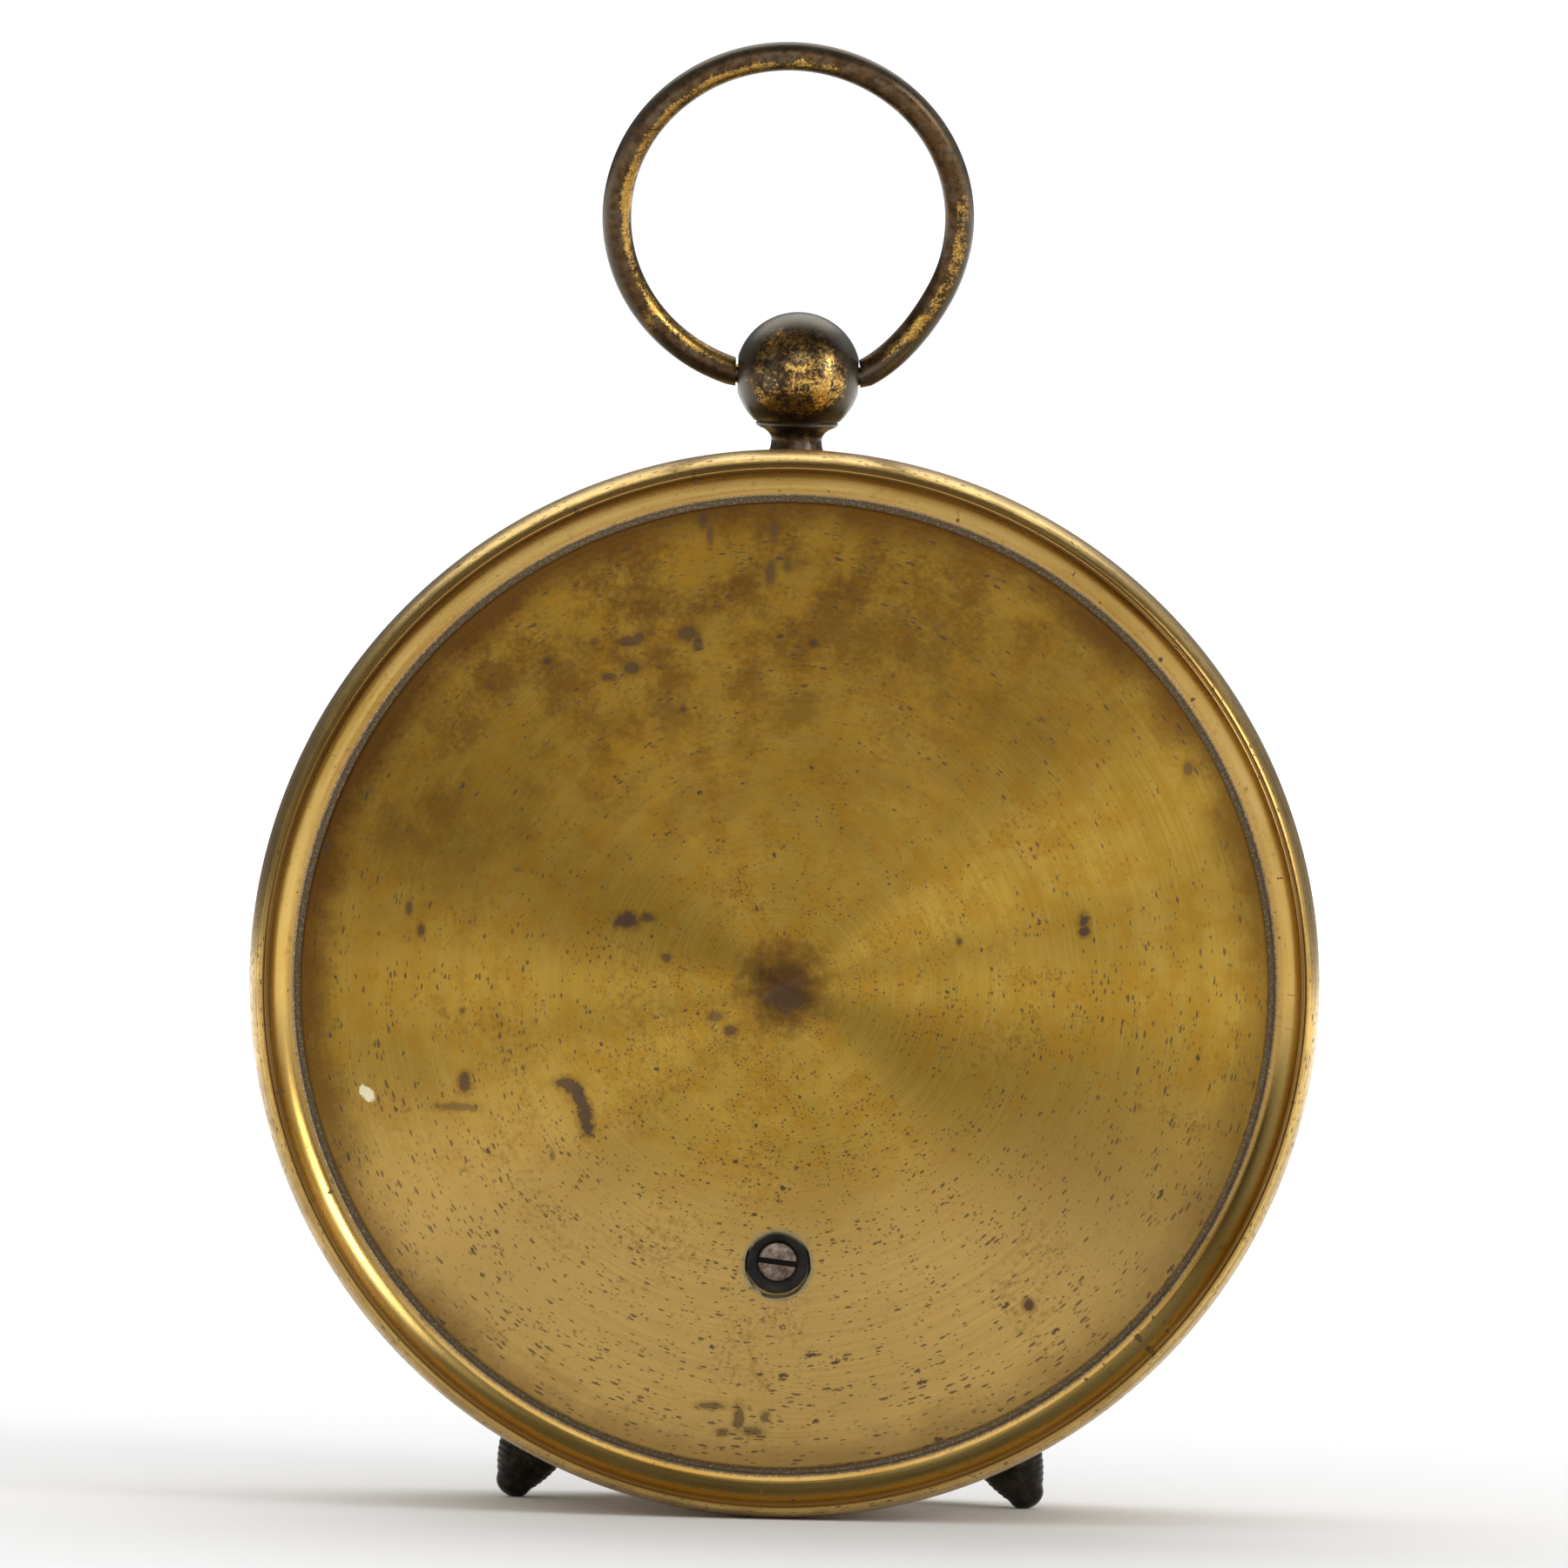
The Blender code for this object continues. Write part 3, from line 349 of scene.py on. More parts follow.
def rim_brass():
    n = Nodes("aged_rim_brass")
    p = n.coords()
    x, y, z, radius, angle = polar(n, p)
    cloud = n.noise(p, 0.20, 6.0, 0.65)
    patch = n.noise(p, 0.7, 5.0, 0.68)
    speck = n.noise(p, 2.2, 5.0, 0.75)
    wide = n.noise(p, 0.06, 3.0, 0.5)
    run = n.math("ADD", radius, n.math("MULTIPLY", z, 1.2))
    lines = turned_lines(n, run, angle, 3.4)
    base = n.mix(n.step(wide, 0.35, 0.65), (0.46, 0.28, 0.060), (0.58, 0.38, 0.11))
    base = n.mix(n.step(lines, 0.42, 0.66, 0.0, 0.7), base, (0.66, 0.46, 0.15))
    outside = n.math("MULTIPLY", n.step(radius, LIP_R + 0.1, LIP_R + 0.4), n.step(z, 9.6, 7.0))
    base = n.mix(n.math("MULTIPLY", outside, 0.6), base, (0.74, 0.50, 0.16))
    # brown lacquer left on the roll between worn streaks, thickest in the groove inside it
    on_roll = n.math("MULTIPLY", n.step(radius, LIP_R - 0.25, LIP_R + 0.2), n.step(z, 9.6, 7.0))
    streak = n.math("MULTIPLY_ADD", lines, 0.9, n.math("MULTIPLY", cloud, 0.7))
    lacquer = n.math("MULTIPLY", n.step(streak, 0.86, 0.72), on_roll)
    patches = n.math("MULTIPLY", n.step(patch, 0.56, 0.74), 0.5)
    brown = n.math("MAXIMUM", n.math("MULTIPLY", lacquer, 0.48), patches)
    groove = n.math("ABSOLUTE", n.math("SUBTRACT", radius, LIP_R + 0.02))
    groove = n.math("MULTIPLY_ADD", speck, 0.35, n.math("ADD", groove, -0.17))
    groove = n.math("MULTIPLY", n.step(groove, 0.62, 0.25), n.step(z, 2.0, 1.0))
    brown = n.math("MAXIMUM", brown, n.math("MULTIPLY", groove, 0.65))
    color = n.mix(brown, base, (0.15, 0.075, 0.028))
    wobble = n.math("MULTIPLY_ADD", speck, 1.2, n.math("MULTIPLY", run, 2.2))
    keep = n.math("MULTIPLY_ADD", on_roll, 0.25, n.step(cloud, 0.44, 0.66, 0.02, 0.40))
    pit = pits(n, wobble, n.math("MULTIPLY", angle, 60.0), 0.42, keep)
    color = n.mix(n.math("MULTIPLY", pit, 0.85), color, STAIN)
    # the inner foot of the band, and the crack round the plate packed with grey-green dirt
    foot_line = n.math("MULTIPLY_ADD", speck, 0.8, n.math("ADD", radius, -0.4))
    warm = n.math("MULTIPLY", n.step(foot_line, 56.1, 55.4), n.step(z, 6.0, 4.0))
    color = n.mix(n.math("MULTIPLY", warm, 0.45), color, (0.20, 0.085, 0.02))
    crevice = n.math("MULTIPLY", n.step(foot_line, 55.30, 54.95), n.step(z, 6.0, 4.0))
    green = n.mix(n.step(n.noise(p, 3.5, 3.0, 0.7), 0.50, 0.66), (0.20, 0.135, 0.075), (0.44, 0.39, 0.25))
    color = n.mix(n.math("MULTIPLY", crevice, 0.94), color, green)
    dirt = n.math("MAXIMUM", n.math("MAXIMUM", crevice, pit), n.math("MULTIPLY", brown, 0.35))
    rough = n.math("ADD", n.step(lines, 0.3, 0.7, 0.21, 0.29), n.math("MULTIPLY", dirt, 0.35))
    height = n.math("SUBTRACT", n.math("MULTIPLY", lines, 0.8), pit)
    n.bump(height, 0.2, 0.00012)
    dull = n.math("MULTIPLY", n.math("MAXIMUM", crevice, pit), 0.35)
    return n.finish(color, rough, n.math("SUBTRACT", 1.0, dull))


def ring_painted_light(n, p):
    """Painted highlights: more gold along the inner edge on one side of the ring and the outer edge on the
    other; also a painted reflection, a grey haze on the outer edge of the wire.
    """
    x, y, z = n.split(p)
    lean = math.cos(RING_LEAN - TILT)
    across = n.math("SUBTRACT", x, RING_SIDE)
    up = n.math("MULTIPLY_ADD", y, 1 / lean, -BALL_V / lean - RING_RISE)
    inner = n.math("MULTIPLY_ADD", n.length(across, up), -1 / RING_WIRE, RING_R / RING_WIRE)
    left = n.math("MULTIPLY", n.step(inner, 0.0, 0.5), n.step(inner, 1.1, 0.7))
    left = n.math("MULTIPLY", left, n.step(across, -9.0, 4.0))
    right = n.math("MULTIPLY", n.step(inner, 0.5, 0.1), n.step(inner, -0.9, -0.3))
    right = n.math("MULTIPLY", right, n.math("MULTIPLY", n.step(across, -8.0, -15.0), n.step(up, 8.0, 0.0)))
    right = n.math("MULTIPLY", right, 0.85)
    gold = n.math("MULTIPLY_ADD", n.math("MAXIMUM", left, right), 0.16, -0.055)
    return gold, n.step(inner, -0.2, -0.9, 0.0, 0.5)


def ball_wear_and_reflection(n, p):
    """Gold in the middle of the ball where it is handled; a grey film round its edge, a painted reflection, and
    on the neck.
    """
    x, y, z = n.split(p)
    up = n.math("ADD", y, -BALL_V)
    reach = n.length(x, up)
    middle = n.math("MULTIPLY", n.step(reach, 6.2, 4.4), n.step(up, -5.2, -3.6))
    film = n.math("MULTIPLY", n.step(reach, 4.6, 6.6, 0.0, 0.6), n.step(up, -6.6, -5.4))
    return n.math("MULTIPLY_ADD", middle, 0.09, -0.05), film


def rubbed_bronze(name, rub, dark, brown, film, wear=None, gold_scale=1.0, polish=0.0):
    """Dark patina with a grey film, rubbed through to gold in streaky patches of fine flecks."""
    n = Nodes(name)
    p = n.coords()
    cloud = n.noise(p, 0.22, 4.0, 0.6)
    mottle = n.noise(p, 0.9, 6.0, 0.72)
    fleck = n.noise(p, 3.4 * gold_scale, 6.0, 0.8)
    gold_mask = n.math("MULTIPLY_ADD", cloud, 0.40, n.math("MULTIPLY", mottle, 0.30))
    gold_mask = n.math("MULTIPLY_ADD", fleck, 0.50, gold_mask)
    film_and_reflection = n.step(n.noise(p, 0.45, 5.0, 0.65), 0.44, 0.64, 0.0, film)
    # for the ring, the added gold streaks are painted highlights; on the ring and the ball, the added grey at
    # the edges is a painted reflection
    if wear:
        gold_and_highlight, haze_and_reflection = wear(n, p)
        gold_mask = n.math("ADD", gold_mask, gold_and_highlight)
        film_and_reflection = n.math("MAXIMUM", film_and_reflection, haze_and_reflection)
    gold_mask = n.step(gold_mask, rub, rub + 0.07)
    base = n.mix(n.step(mottle, 0.34, 0.64), dark, brown)
    base = n.mix(film_and_reflection, base, (0.130, 0.128, 0.100))
    gold = n.mix(n.step(fleck, 0.36, 0.64), (0.30, 0.155, 0.035), (0.66, 0.41, 0.10))
    color = n.mix(n.math("MULTIPLY", gold_mask, 0.92), base, gold)
    rough = n.step(mottle, 0.3, 0.7, 0.30 - polish, 0.42 - polish)
    rough = n.math("ADD", rough, n.math("MULTIPLY", gold_mask, -0.06))
    height = n.math("ADD", n.math("MULTIPLY", mottle, 0.5), n.math("MULTIPLY", fleck, 0.5))
    n.bump(height, 0.25, 0.00012)
    return n.finish(color, rough, n.step(gold_mask, 0.0, 1.0, 0.86, 1.0))


def worked_metal(name, low, high, rough_low, rough_high, scale=0.8, metallic=1.0, bump=0.12):
    """Plain machined metal with fine mottling for the inner pieces."""
    n = Nodes(name)
    p = n.coords()
    cloud = n.noise(p, scale * 0.3, 4.0, 0.6)
    grain = n.noise(p, scale * 3.0, 5.0, 0.7)
    mottle = n.math("ADD", n.math("MULTIPLY", cloud, 0.6), n.math("MULTIPLY", grain, 0.4))
    color = n.mix(n.step(mottle, 0.38, 0.62), low, high)
    n.bump(grain, bump, 0.0001)
    return n.finish(color, n.step(grain, 0.3, 0.7, rough_low, rough_high), metallic)


def screw_steel():
    n = Nodes("adjuster_steel")
    p = n.coords()
    cloud = n.noise(p, 0.8, 5.0, 0.6)
    grain = n.noise(p, 4.0, 4.0, 0.7)
    color = n.mix(n.step(cloud, 0.36, 0.62), (0.10, 0.065, 0.045), (0.30, 0.235, 0.19))
    color = n.mix(n.step(grain, 0.5, 0.75, 0.0, 0.5), color, (0.45, 0.36, 0.28))
    # painted shade: the slot is coloured near black
    x, y, z = n.split(p)
    across = n.math("SUBTRACT", y, HOLE_V)
    slot = n.math("ABSOLUTE", n.math("MULTIPLY_ADD", x, -math.tan(math.radians(SLOT_TURN)), across))
    slot = n.math("MULTIPLY", n.step(slot, 0.42, 0.26), n.step(z, HEAD_A + 0.02, HEAD_A + 0.1))
    color = n.mix(slot, color, SLOT_SHADE)
    n.bump(grain, 0.2, 0.0001)
    return n.finish(color, n.step(grain, 0.3, 0.7, 0.34, 0.5), 0.95)


def silvered():
    n = Nodes("silvered_dial")
    p = n.coords()
    x, y, z, radius, angle = polar(n, p)
    lines = turned_lines(n, radius, angle, 4.0)
    cloud = n.noise(p, 0.12, 5.0, 0.6)
    color = n.mix(n.step(cloud, 0.35, 0.7), (0.78, 0.76, 0.70), (0.62, 0.57, 0.47))
    color = n.mix(n.step(lines, 0.4, 0.7, 0.0, 0.3), color, (0.86, 0.85, 0.80))
    edge = n.step(n.math("MULTIPLY_ADD", cloud, 6.0, n.math("ADD", radius, -3.0)), 44.0, 53.0)
    color = n.mix(n.math("MULTIPLY", edge, 0.45), color, (0.42, 0.33, 0.2))
    n.bump(lines, 0.08, 0.0001)
    return n.finish(color, n.step(lines, 0.3, 0.7, 0.36, 0.46), 0.75)


def blued():
    n = Nodes("blued_steel")
    p = n.coords()
    cloud = n.noise(p, 0.25, 4.0, 0.6)
    grain = n.noise(p, 2.5, 4.0, 0.7)
    color = n.mix(n.step(cloud, 0.35, 0.65), (0.012, 0.028, 0.11), (0.04, 0.03, 0.09))
    n.bump(grain, 0.08, 0.0001)
    return n.finish(color, n.step(grain, 0.3, 0.7, 0.22, 0.32), 1.0)


def ink():
    n = Nodes("dial_ink")
    p = n.coords()
    grain = n.noise(p, 2.0, 4.0, 0.7)
    color = n.mix(n.step(grain, 0.4, 0.7), (0.012, 0.011, 0.010), (0.035, 0.032, 0.028))
    return n.finish(color, n.step(grain, 0.3, 0.7, 0.5, 0.65), 0.0)


def clear_glass():
    n = Nodes("bezel_glass")
    p = n.coords()
    smear = n.noise(p, 0.15, 4.0, 0.6)
    rough = n.step(smear, 0.4, 0.75, 0.0, 0.06)
    return n.finish((0.97, 0.985, 0.98), rough, 0.0, Transmission_Weight=1.0, IOR=1.5)


MATS = {
    "plate": plate_brass(),
    "rim": rim_brass(),
    "bronze": rubbed_bronze("rubbed_bronze", 0.625, (0.030, 0.018, 0.011), (0.085, 0.044, 0.018), 0.35,
                            ball_wear_and_reflection, 0.8, 0.05),
    "ring": rubbed_bronze("ring_bronze", 0.635, (0.040, 0.022, 0.009), (0.100, 0.050, 0.016), 0.25,
                          ring_painted_light, 1.2, 0.04),
    "foot": rubbed_bronze("foot_bronze", 0.72, (0.012, 0.010, 0.008), (0.030, 0.022, 0.013), 0.15),
    "adjuster": screw_steel(),
    "silvered": silvered(),
    "blued": blued(),
    "ink": ink(),
    "glass": clear_glass(),
    "turned_brass": worked_metal("inner_brass", (0.42, 0.28, 0.08), (0.60, 0.42, 0.16), 0.28, 0.42),
    "steel": worked_metal("inner_steel", (0.36, 0.35, 0.33), (0.52, 0.51, 0.49), 0.26, 0.4),
    "nickel": worked_metal("inner_nickel", (0.50, 0.48, 0.42), (0.64, 0.62, 0.57), 0.24, 0.36),
    "cast_iron": worked_metal("japanned_iron", (0.02, 0.02, 0.022), (0.06, 0.055, 0.05), 0.38, 0.55,
                              1.4, 0.4, 0.3),
}

# every CAD node gets its metal from the record's slot, except the bush seen through the back hole, which takes
# the near-black iron as painted shade
SLOT_LOOK = {"aged_brass": "rim", "turned_brass": "turned_brass", "dark_bronze": "bronze",
             "black_bronze": "foot", "nickel": "nickel", "steel": "steel", "blued_steel": "blued",
             "cast_iron": "cast_iron", "silvered_dial": "silvered", "glass": "glass"}
NODE_SLOT = {row["node"]: row["material_slot"] for row in frame["record"]["subparts"]}
SHADED_NODE_LOOK = {"adjuster_bush": "cast_iron"}


def inner_metal(look):
    """The CAD nodes sit at the row's origin, so they take plain metals that need no centre."""
    return MATS[{"rim": "turned_brass", "silvered": "nickel"}.get(look, look)]


for node_name, node in frame["nodes"].items():
    node.data.materials.clear()
    look = SHADED_NODE_LOOK.get(node_name, SLOT_LOOK[NODE_SLOT[node_name]])
    node.data.materials.append(inner_metal(look))

# ------------------------------------------------------------------ mesh helpers


def arc(cx, cy, rx, ry, start, end, count):
    """Points of an elliptical arc, angles in degrees."""
    points = []
    for i in range(count + 1):
        t = math.radians(start + (end - start) * i / count)
        points.append((cx + rx * math.cos(t), cy + ry * math.sin(t)))
    return points


def lathe(profile, seg=PLATE_SEG):
    """Closed solid of revolution about local Z from a loop of (radius, height)."""
    bm = bmesh.new()
    rings = []
    for r, h in profile:
        if r < 1e-6:
            rings.append([bm.verts.new((0, 0, h))])
        else:
            rings.append([bm.verts.new((r * math.cos(2 * math.pi * i / seg),
                                        r * math.sin(2 * math.pi * i / seg), h)) for i in range(seg)])
    pairs = list(zip(rings, rings[1:]))
    if len(rings[0]) > 1 or len(rings[-1]) > 1:
        pairs.append((rings[-1], rings[0]))
    for low, high in pairs:
        if len(low) == 1 and len(high) == 1:
            continue
        for i in range(seg):
            j = (i + 1) % seg
            if len(low) == 1:
                bm.faces.new((low[0], high[i], high[j]))
            elif len(high) == 1:
                bm.faces.new((low[i], high[0], low[j]))
            else:
                bm.faces.new((low[i], high[i], high[j], low[j]))
    bmesh.ops.recalc_face_normals(bm, faces=bm.faces[:])
    return bm


def prism(outline, low, high):
    bm = bmesh.new()
    bottom = [bm.verts.new((x, y, low)) for x, y in outline]
    top = [bm.verts.new((x, y, high)) for x, y in outline]
    bm.faces.new(bottom)
    bm.faces.new(top)
    for i in range(len(outline)):
        j = (i + 1) % len(outline)
        bm.faces.new((bottom[i], bottom[j], top[j], top[i]))
    bmesh.ops.recalc_face_normals(bm, faces=bm.faces[:])
    return bm


def moved(bm, matrix):
    bmesh.ops.transform(bm, matrix=matrix, verts=bm.verts[:])
    return bm


def raw(name, bm):
    mesh = bpy.data.meshes.new(name)
    bm.to_mesh(mesh)
    bm.free()
    obj = bpy.data.objects.new(name, mesh)
    bpy.context.scene.collection.objects.link(obj)
    return obj


def apply_modifiers(obj):
    mesh = bpy.data.meshes.new_from_object(obj.evaluated_get(bpy.context.evaluated_depsgraph_get()))
    obj.modifiers.clear()
    old = obj.data
    obj.data = mesh
    bpy.data.meshes.remove(old)


def boolean(obj, bm, operation="DIFFERENCE"):
    tool = raw("tool", bm)
    mod = obj.modifiers.new("bool", "BOOLEAN")
    mod.operation = operation
    mod.solver = "EXACT"
    mod.object = tool
    apply_modifiers(obj)
    data = tool.data
    bpy.data.objects.remove(tool)
    bpy.data.meshes.remove(data)


def bevel(obj, width, segments=2, angle=35):
    mod = obj.modifiers.new("bevel", "BEVEL")
    mod.width = width
    mod.segments = segments
    mod.limit_method = "ANGLE"
    mod.angle_limit = math.radians(angle)
    apply_modifiers(obj)


def settle(obj, look, body, nodes=(), smooth=38.0):
    """Scale to metres, place, give the material, and tie to the frame."""
    obj.data.transform(Matrix.Scale(MM, 4))
    obj.matrix_world = PLACE
    obj.data.materials.clear()
    obj.data.materials.append(MATS[look])
    obj.data.shade_smooth()
    obj.data.set_sharp_from_angle(angle=math.radians(smooth))
    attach(obj, body)
    if nodes:
        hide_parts(*nodes)


# ------------------------------------------------------------------ drum case and back plate


def drum_case():
    profile = arc(LIP_R, RIM_A, RIM_R - LIP_R, RIM_A, -82, 0, 18)
    profile += arc(RIM_R - 3.2, RIM_A, 3.2, 3.5, 12, 84, 10)
    profile += [(WALL_R + 0.25, 9.25), (WALL_R, 9.4), (WALL_R, WALL_BACK)]
    profile += [(WALL_R, WALL_BACK + 1.9 * i) for i in range(1, 13)]
    profile += [(WALL_R, WALL_FRONT - 0.2), (WALL_R - 0.2, WALL_FRONT), (WALL_IN + 0.1, WALL_FRONT),
                (WALL_IN, WALL_FRONT - 0.1), (WALL_IN, LEDGE_FRONT), (LEDGE_R, LEDGE_FRONT),
                (LEDGE_R, LEDGE_BACK), (BAND_IN - 0.15, LEDGE_BACK), (BAND_IN - 0.15, 2.75)]
    profile += arc(BAND_IN + 0.18, 2.62, 0.33, 0.33, 180, 268, 4)
    # the band is a shallow cove between the plate and the roll
    profile += arc(LIP_R - 4.20, -1.81, 4.37, 4.37, 69, 29, 14)
    profile += [(LIP_R - 0.30, 0.18), (LIP_R - 0.16, 0.28), (LIP_R - 0.04, 0.36), (LIP_R + 0.06, 0.37),
                (LIP_R + 0.15, 0.26), (LIP_R + 0.22, 0.10)]
    obj = raw("drum_case", lathe(profile))
    hole = lathe([(0, 50), (2.1, 50), (2.1, 59), (0, 59)], 32)
    upright = Matrix.Rotation(-math.pi / 2 + 0.001, 4, "X")
    boolean(obj, moved(hole, Matrix.Translation((0, 0, PEND_A)) @ upright))
    settle(obj, "rim", "case", ["case_drum"])


def back_plate():
    profile = [(0, PLATE_A)] + [(PLATE_R * i / 30, PLATE_A) for i in range(1, 30)]
    profile += [(PLATE_R - 0.45, PLATE_A)] + arc(PLATE_R - 0.4, PLATE_A + 0.4, 0.4, 0.4, -75, 0, 5)
    profile += [(PLATE_R, PLATE_FRONT - 0.1), (PLATE_R - 0.1, PLATE_FRONT), (0, PLATE_FRONT)]
    obj = raw("turned_back_plate", lathe(profile))
    cutter = lathe([(0, 0.5), (HOLE_R + 0.30, 0.5), (HOLE_R + 0.28, PLATE_A - 0.02),
                    (HOLE_R + 0.12, PLATE_A + 0.22), (HOLE_R, PLATE_A + 0.5), (HOLE_R, 5), (0, 5)], 72)
    for vert in cutter.verts:
        # the hole was opened by hand, so its edge wanders a little
        turn = math.atan2(vert.co.y, vert.co.x)
        wander = noise.noise((1.6 * math.cos(turn), 1.6 * math.sin(turn), 3.0))
        vert.co.x *= 1.0 + 0.05 * wander
        vert.co.y *= 1.0 + 0.05 * wander
    boolean(obj, moved(cutter, Matrix.Translation((0, HOLE_V, 0)) @ Matrix.Rotation(0.011, 4, "Z")))
    settle(obj, "plate", "case", ["back_plate"])


def slotted_head(name, head_r, low, high, shank_r, tip, slot, slot_deep, turn, x, v):
    """Screw seen from the side its slot is on. low is the slotted face."""
    out = 1 if high > low else -1
    profile = [(0, low)] + arc(head_r - 0.25, low + out * 0.25, 0.25, 0.25 * out, -90, 0, 4)
    profile += [(head_r, high - out * 0.05), (head_r - 0.05, high), (shank_r, high), (shank_r, tip), (0, tip)]
    obj = raw(name, lathe(profile, 72))
    half = slot / 2
    groove = prism([(-9, -half), (9, -half), (9, half), (-9, half)], min(low - out, low + out * slot_deep),
                   max(low - out, low + out * slot_deep))
    boolean(obj, moved(groove, Matrix.Rotation(math.radians(turn), 4, "Z")))
    bevel(obj, 0.04, 1)
    obj.data.transform(Matrix.Translation((x, v, 0)))
    return obj


def pendant():
    """Stud, collar, waisted neck and the ball, with a flat and a bore for the ring on each side."""
    profile = [(0, STUD_END), (STUD_R, STUD_END), (STUD_R, STUD_SEAT)]
    profile += [(4.7, STUD_SEAT), (4.8, 57.0), (4.8, 57.4)]
    profile += [(4.65, 57.55)] + arc(5.2, 60.4, 2.35, 2.9, 262, 180, 8)
    profile += arc(5.0, 60.4, 2.15, 1.55, 178, 112, 6) + [(4.35, 61.95), (4.62, 62.08), (4.66, 62.3)]
    profile += [(4.55, 62.5)]
    low = math.degrees(math.asin((62.62 - BALL_V) / BALL_R))
    profile += arc(0, BALL_V, BALL_R, BALL_R, low, 90, 34)[:-1] + [(0, BALL_V + BALL_R)]
    upright = Matrix.Rotation(-math.pi / 2, 4, "X")
    obj = raw("ball_pendant", moved(lathe(profile, SMALL_SEG), Matrix.Translation((0, 0, PEND_A)) @ upright))
    for s in (-1, 1):
        near, far = sorted((s * BALL_FLAT, s * 12))
        boolean(obj, prism([(near, 60), (far, 60), (far, 80), (near, 80)], PEND_A - 12, PEND_A + 12))
    bore = lathe([(0, -12), (1.3, -12), (1.3, 12), (0, 12)], 32)
    boolean(obj, moved(bore, Matrix.Translation((0, BALL_V, PEND_A)) @ Matrix.Rotation(math.pi / 2, 4, "Y")))
    settle(obj, "bronze", "case", ["pendant"], smooth=30)


def carrying_ring():
    """Wire swept round in a circle from one face of the ball to the other."""
    gap = BALL_FLAT + 0.26
    start = math.asin((gap - RING_SIDE) / RING_R)
    end = math.asin((gap + RING_SIDE) / RING_R)
    bm = bmesh.new()
    rows = []
    count, sides = 180, 28
    for i in range(count + 1):
        turn = -math.pi / 2 + start + (2 * math.pi - start - end) * i / count
        out = Vector((math.cos(turn), math.sin(turn), 0))
        # both ends dip to the level of the pivot
        near_end = max(0.0, 1.0 - min(i, count - i) / (0.12 * count))
        bend = near_end ** 2 * (3.0 - 2.0 * near_end)
        level = start if i < count / 2 else end
        dip = bend * (RING_RISE - RING_R * math.cos(level) - 0.15)
        wear = 1.0 + 0.012 * noise.noise((3 * out.x, 3 * out.y, 0.5))
        row = []
        for k in range(sides):
            p = 2 * math.pi * k / sides
            point = out * (RING_R + RING_WIRE * wear * math.cos(p))
            point.z = RING_WIRE * wear * math.sin(p)
            point += Vector((RING_SIDE, RING_RISE - dip, 0))
            if i in (0, count):
                # the ends are filed flat against the ball
                point.x = gap if i == 0 else -gap
            row.append(bm.verts.new(point))
        rows.append(row)
    for low, high in zip(rows, rows[1:]):
        for k in range(sides):
            n = (k + 1) % sides
            bm.faces.new((low[k], high[k], high[n], low[n]))
    bm.faces.new(rows[0])
    bm.faces.new(rows[-1])
    bmesh.ops.recalc_face_normals(bm, faces=bm.faces[:])
    obj = raw("ring_wire", bm)
    for s in (-1, 1):
        near, far = sorted((s * 3.6, s * (gap + 1.0)))
        pin = lathe([(0, near), (1.05, near), (1.05, far), (0, far)], 24)
        boolean(obj, moved(pin, Matrix.Rotation(math.pi / 2, 4, "Y")), "UNION")
    lean = Matrix.Rotation(-(RING_LEAN - TILT), 4, "X")
    obj.data.transform(Matrix.Translation((0, BALL_V, PEND_A)) @ lean)
    settle(obj, "ring", "ring", ["carrying_ring"])


def foot(side, word):
    """Tapered foot with turned ribs and a small domed tip, worn flat where it meets the table."""
    tip_c = foot_centre()
    end = tip_c + FOOT_DOME * FOOT_TIP + 0.1
    tip_r = 0.62 * FOOT_TIP
    profile = [(0, STUD_END), (STUD_R - 0.15, STUD_END), (STUD_R - 0.15, STUD_SEAT)]
    profile += [(4.3, STUD_SEAT), (4.4, 57.1), (4.2, 57.9)]
    start = 58.1
    steps = 36
    ribs = 12
    for i in range(steps + 1):
        # ribs ride on a cone that swells a little before it runs in to the tip
        t = i / steps
        taper = 4.15 - (4.15 - tip_r) * t ** 2.4
        rib = 0.05 * math.cos(2 * math.pi * ribs * t)
        profile.append((taper + rib, start + (end - tip_r * 0.8 - start) * t))
    profile += arc(0, end - tip_r * 0.8, tip_r, 0.8 * tip_r, 6, 90, 10)[:-1] + [(0, end)]
    bm = lathe(profile, SMALL_SEG)
    matrix = Matrix.Translation((0, 0, FOOT_A)) @ Matrix.Rotation(side * FOOT_ANG, 4, "Z")
    moved(bm, matrix @ Matrix.Rotation(math.pi / 2, 4, "X"))
    down = Vector((0, -math.cos(TILT), -math.sin(TILT)))
    floor_point = Vector((0, -ORIGIN.z / MM / math.cos(TILT), 0))
    cut = bmesh.ops.bisect_plane(bm, geom=bm.verts[:] + bm.edges[:] + bm.faces[:], dist=1e-4,
                                 plane_co=floor_point, plane_no=down, clear_outer=True)
    bmesh.ops.contextual_create(bm, geom=[e for e in cut["geom_cut"] if isinstance(e, bmesh.types.BMEdge)])
    bmesh.ops.recalc_face_normals(bm, faces=bm.faces[:])
    settle(raw("knurled_foot_" + word, bm), "foot", "case", ["foot_" + word], smooth=50)


def foot_centre():
    """Distance from the drum axis to the middle of a foot's dome, so that it meets the floor."""
    off = math.acos(math.cos(FOOT_ANG) * math.cos(TILT))
    reach = FOOT_TIP * math.hypot(math.sin(off), FOOT_DOME * math.cos(off)) - 0.12
    drop = ORIGIN.z / MM + FOOT_A * math.sin(TILT) - reach
    return drop / (math.cos(FOOT_ANG) * math.cos(TILT))


drum_case()
back_plate()
settle(slotted_head("adjuster_head", 2.3, HEAD_A, 7.5, 1.45, 13.5, 0.62, 0.75, SLOT_TURN, 0, HOLE_V),
       "adjuster", "adjuster", ["adjusting_screw"])
pendant()
carrying_ring()
foot(-1, "left")
foot(1, "right")

# ------------------------------------------------------------------ front: bezel, glass, dial, hands


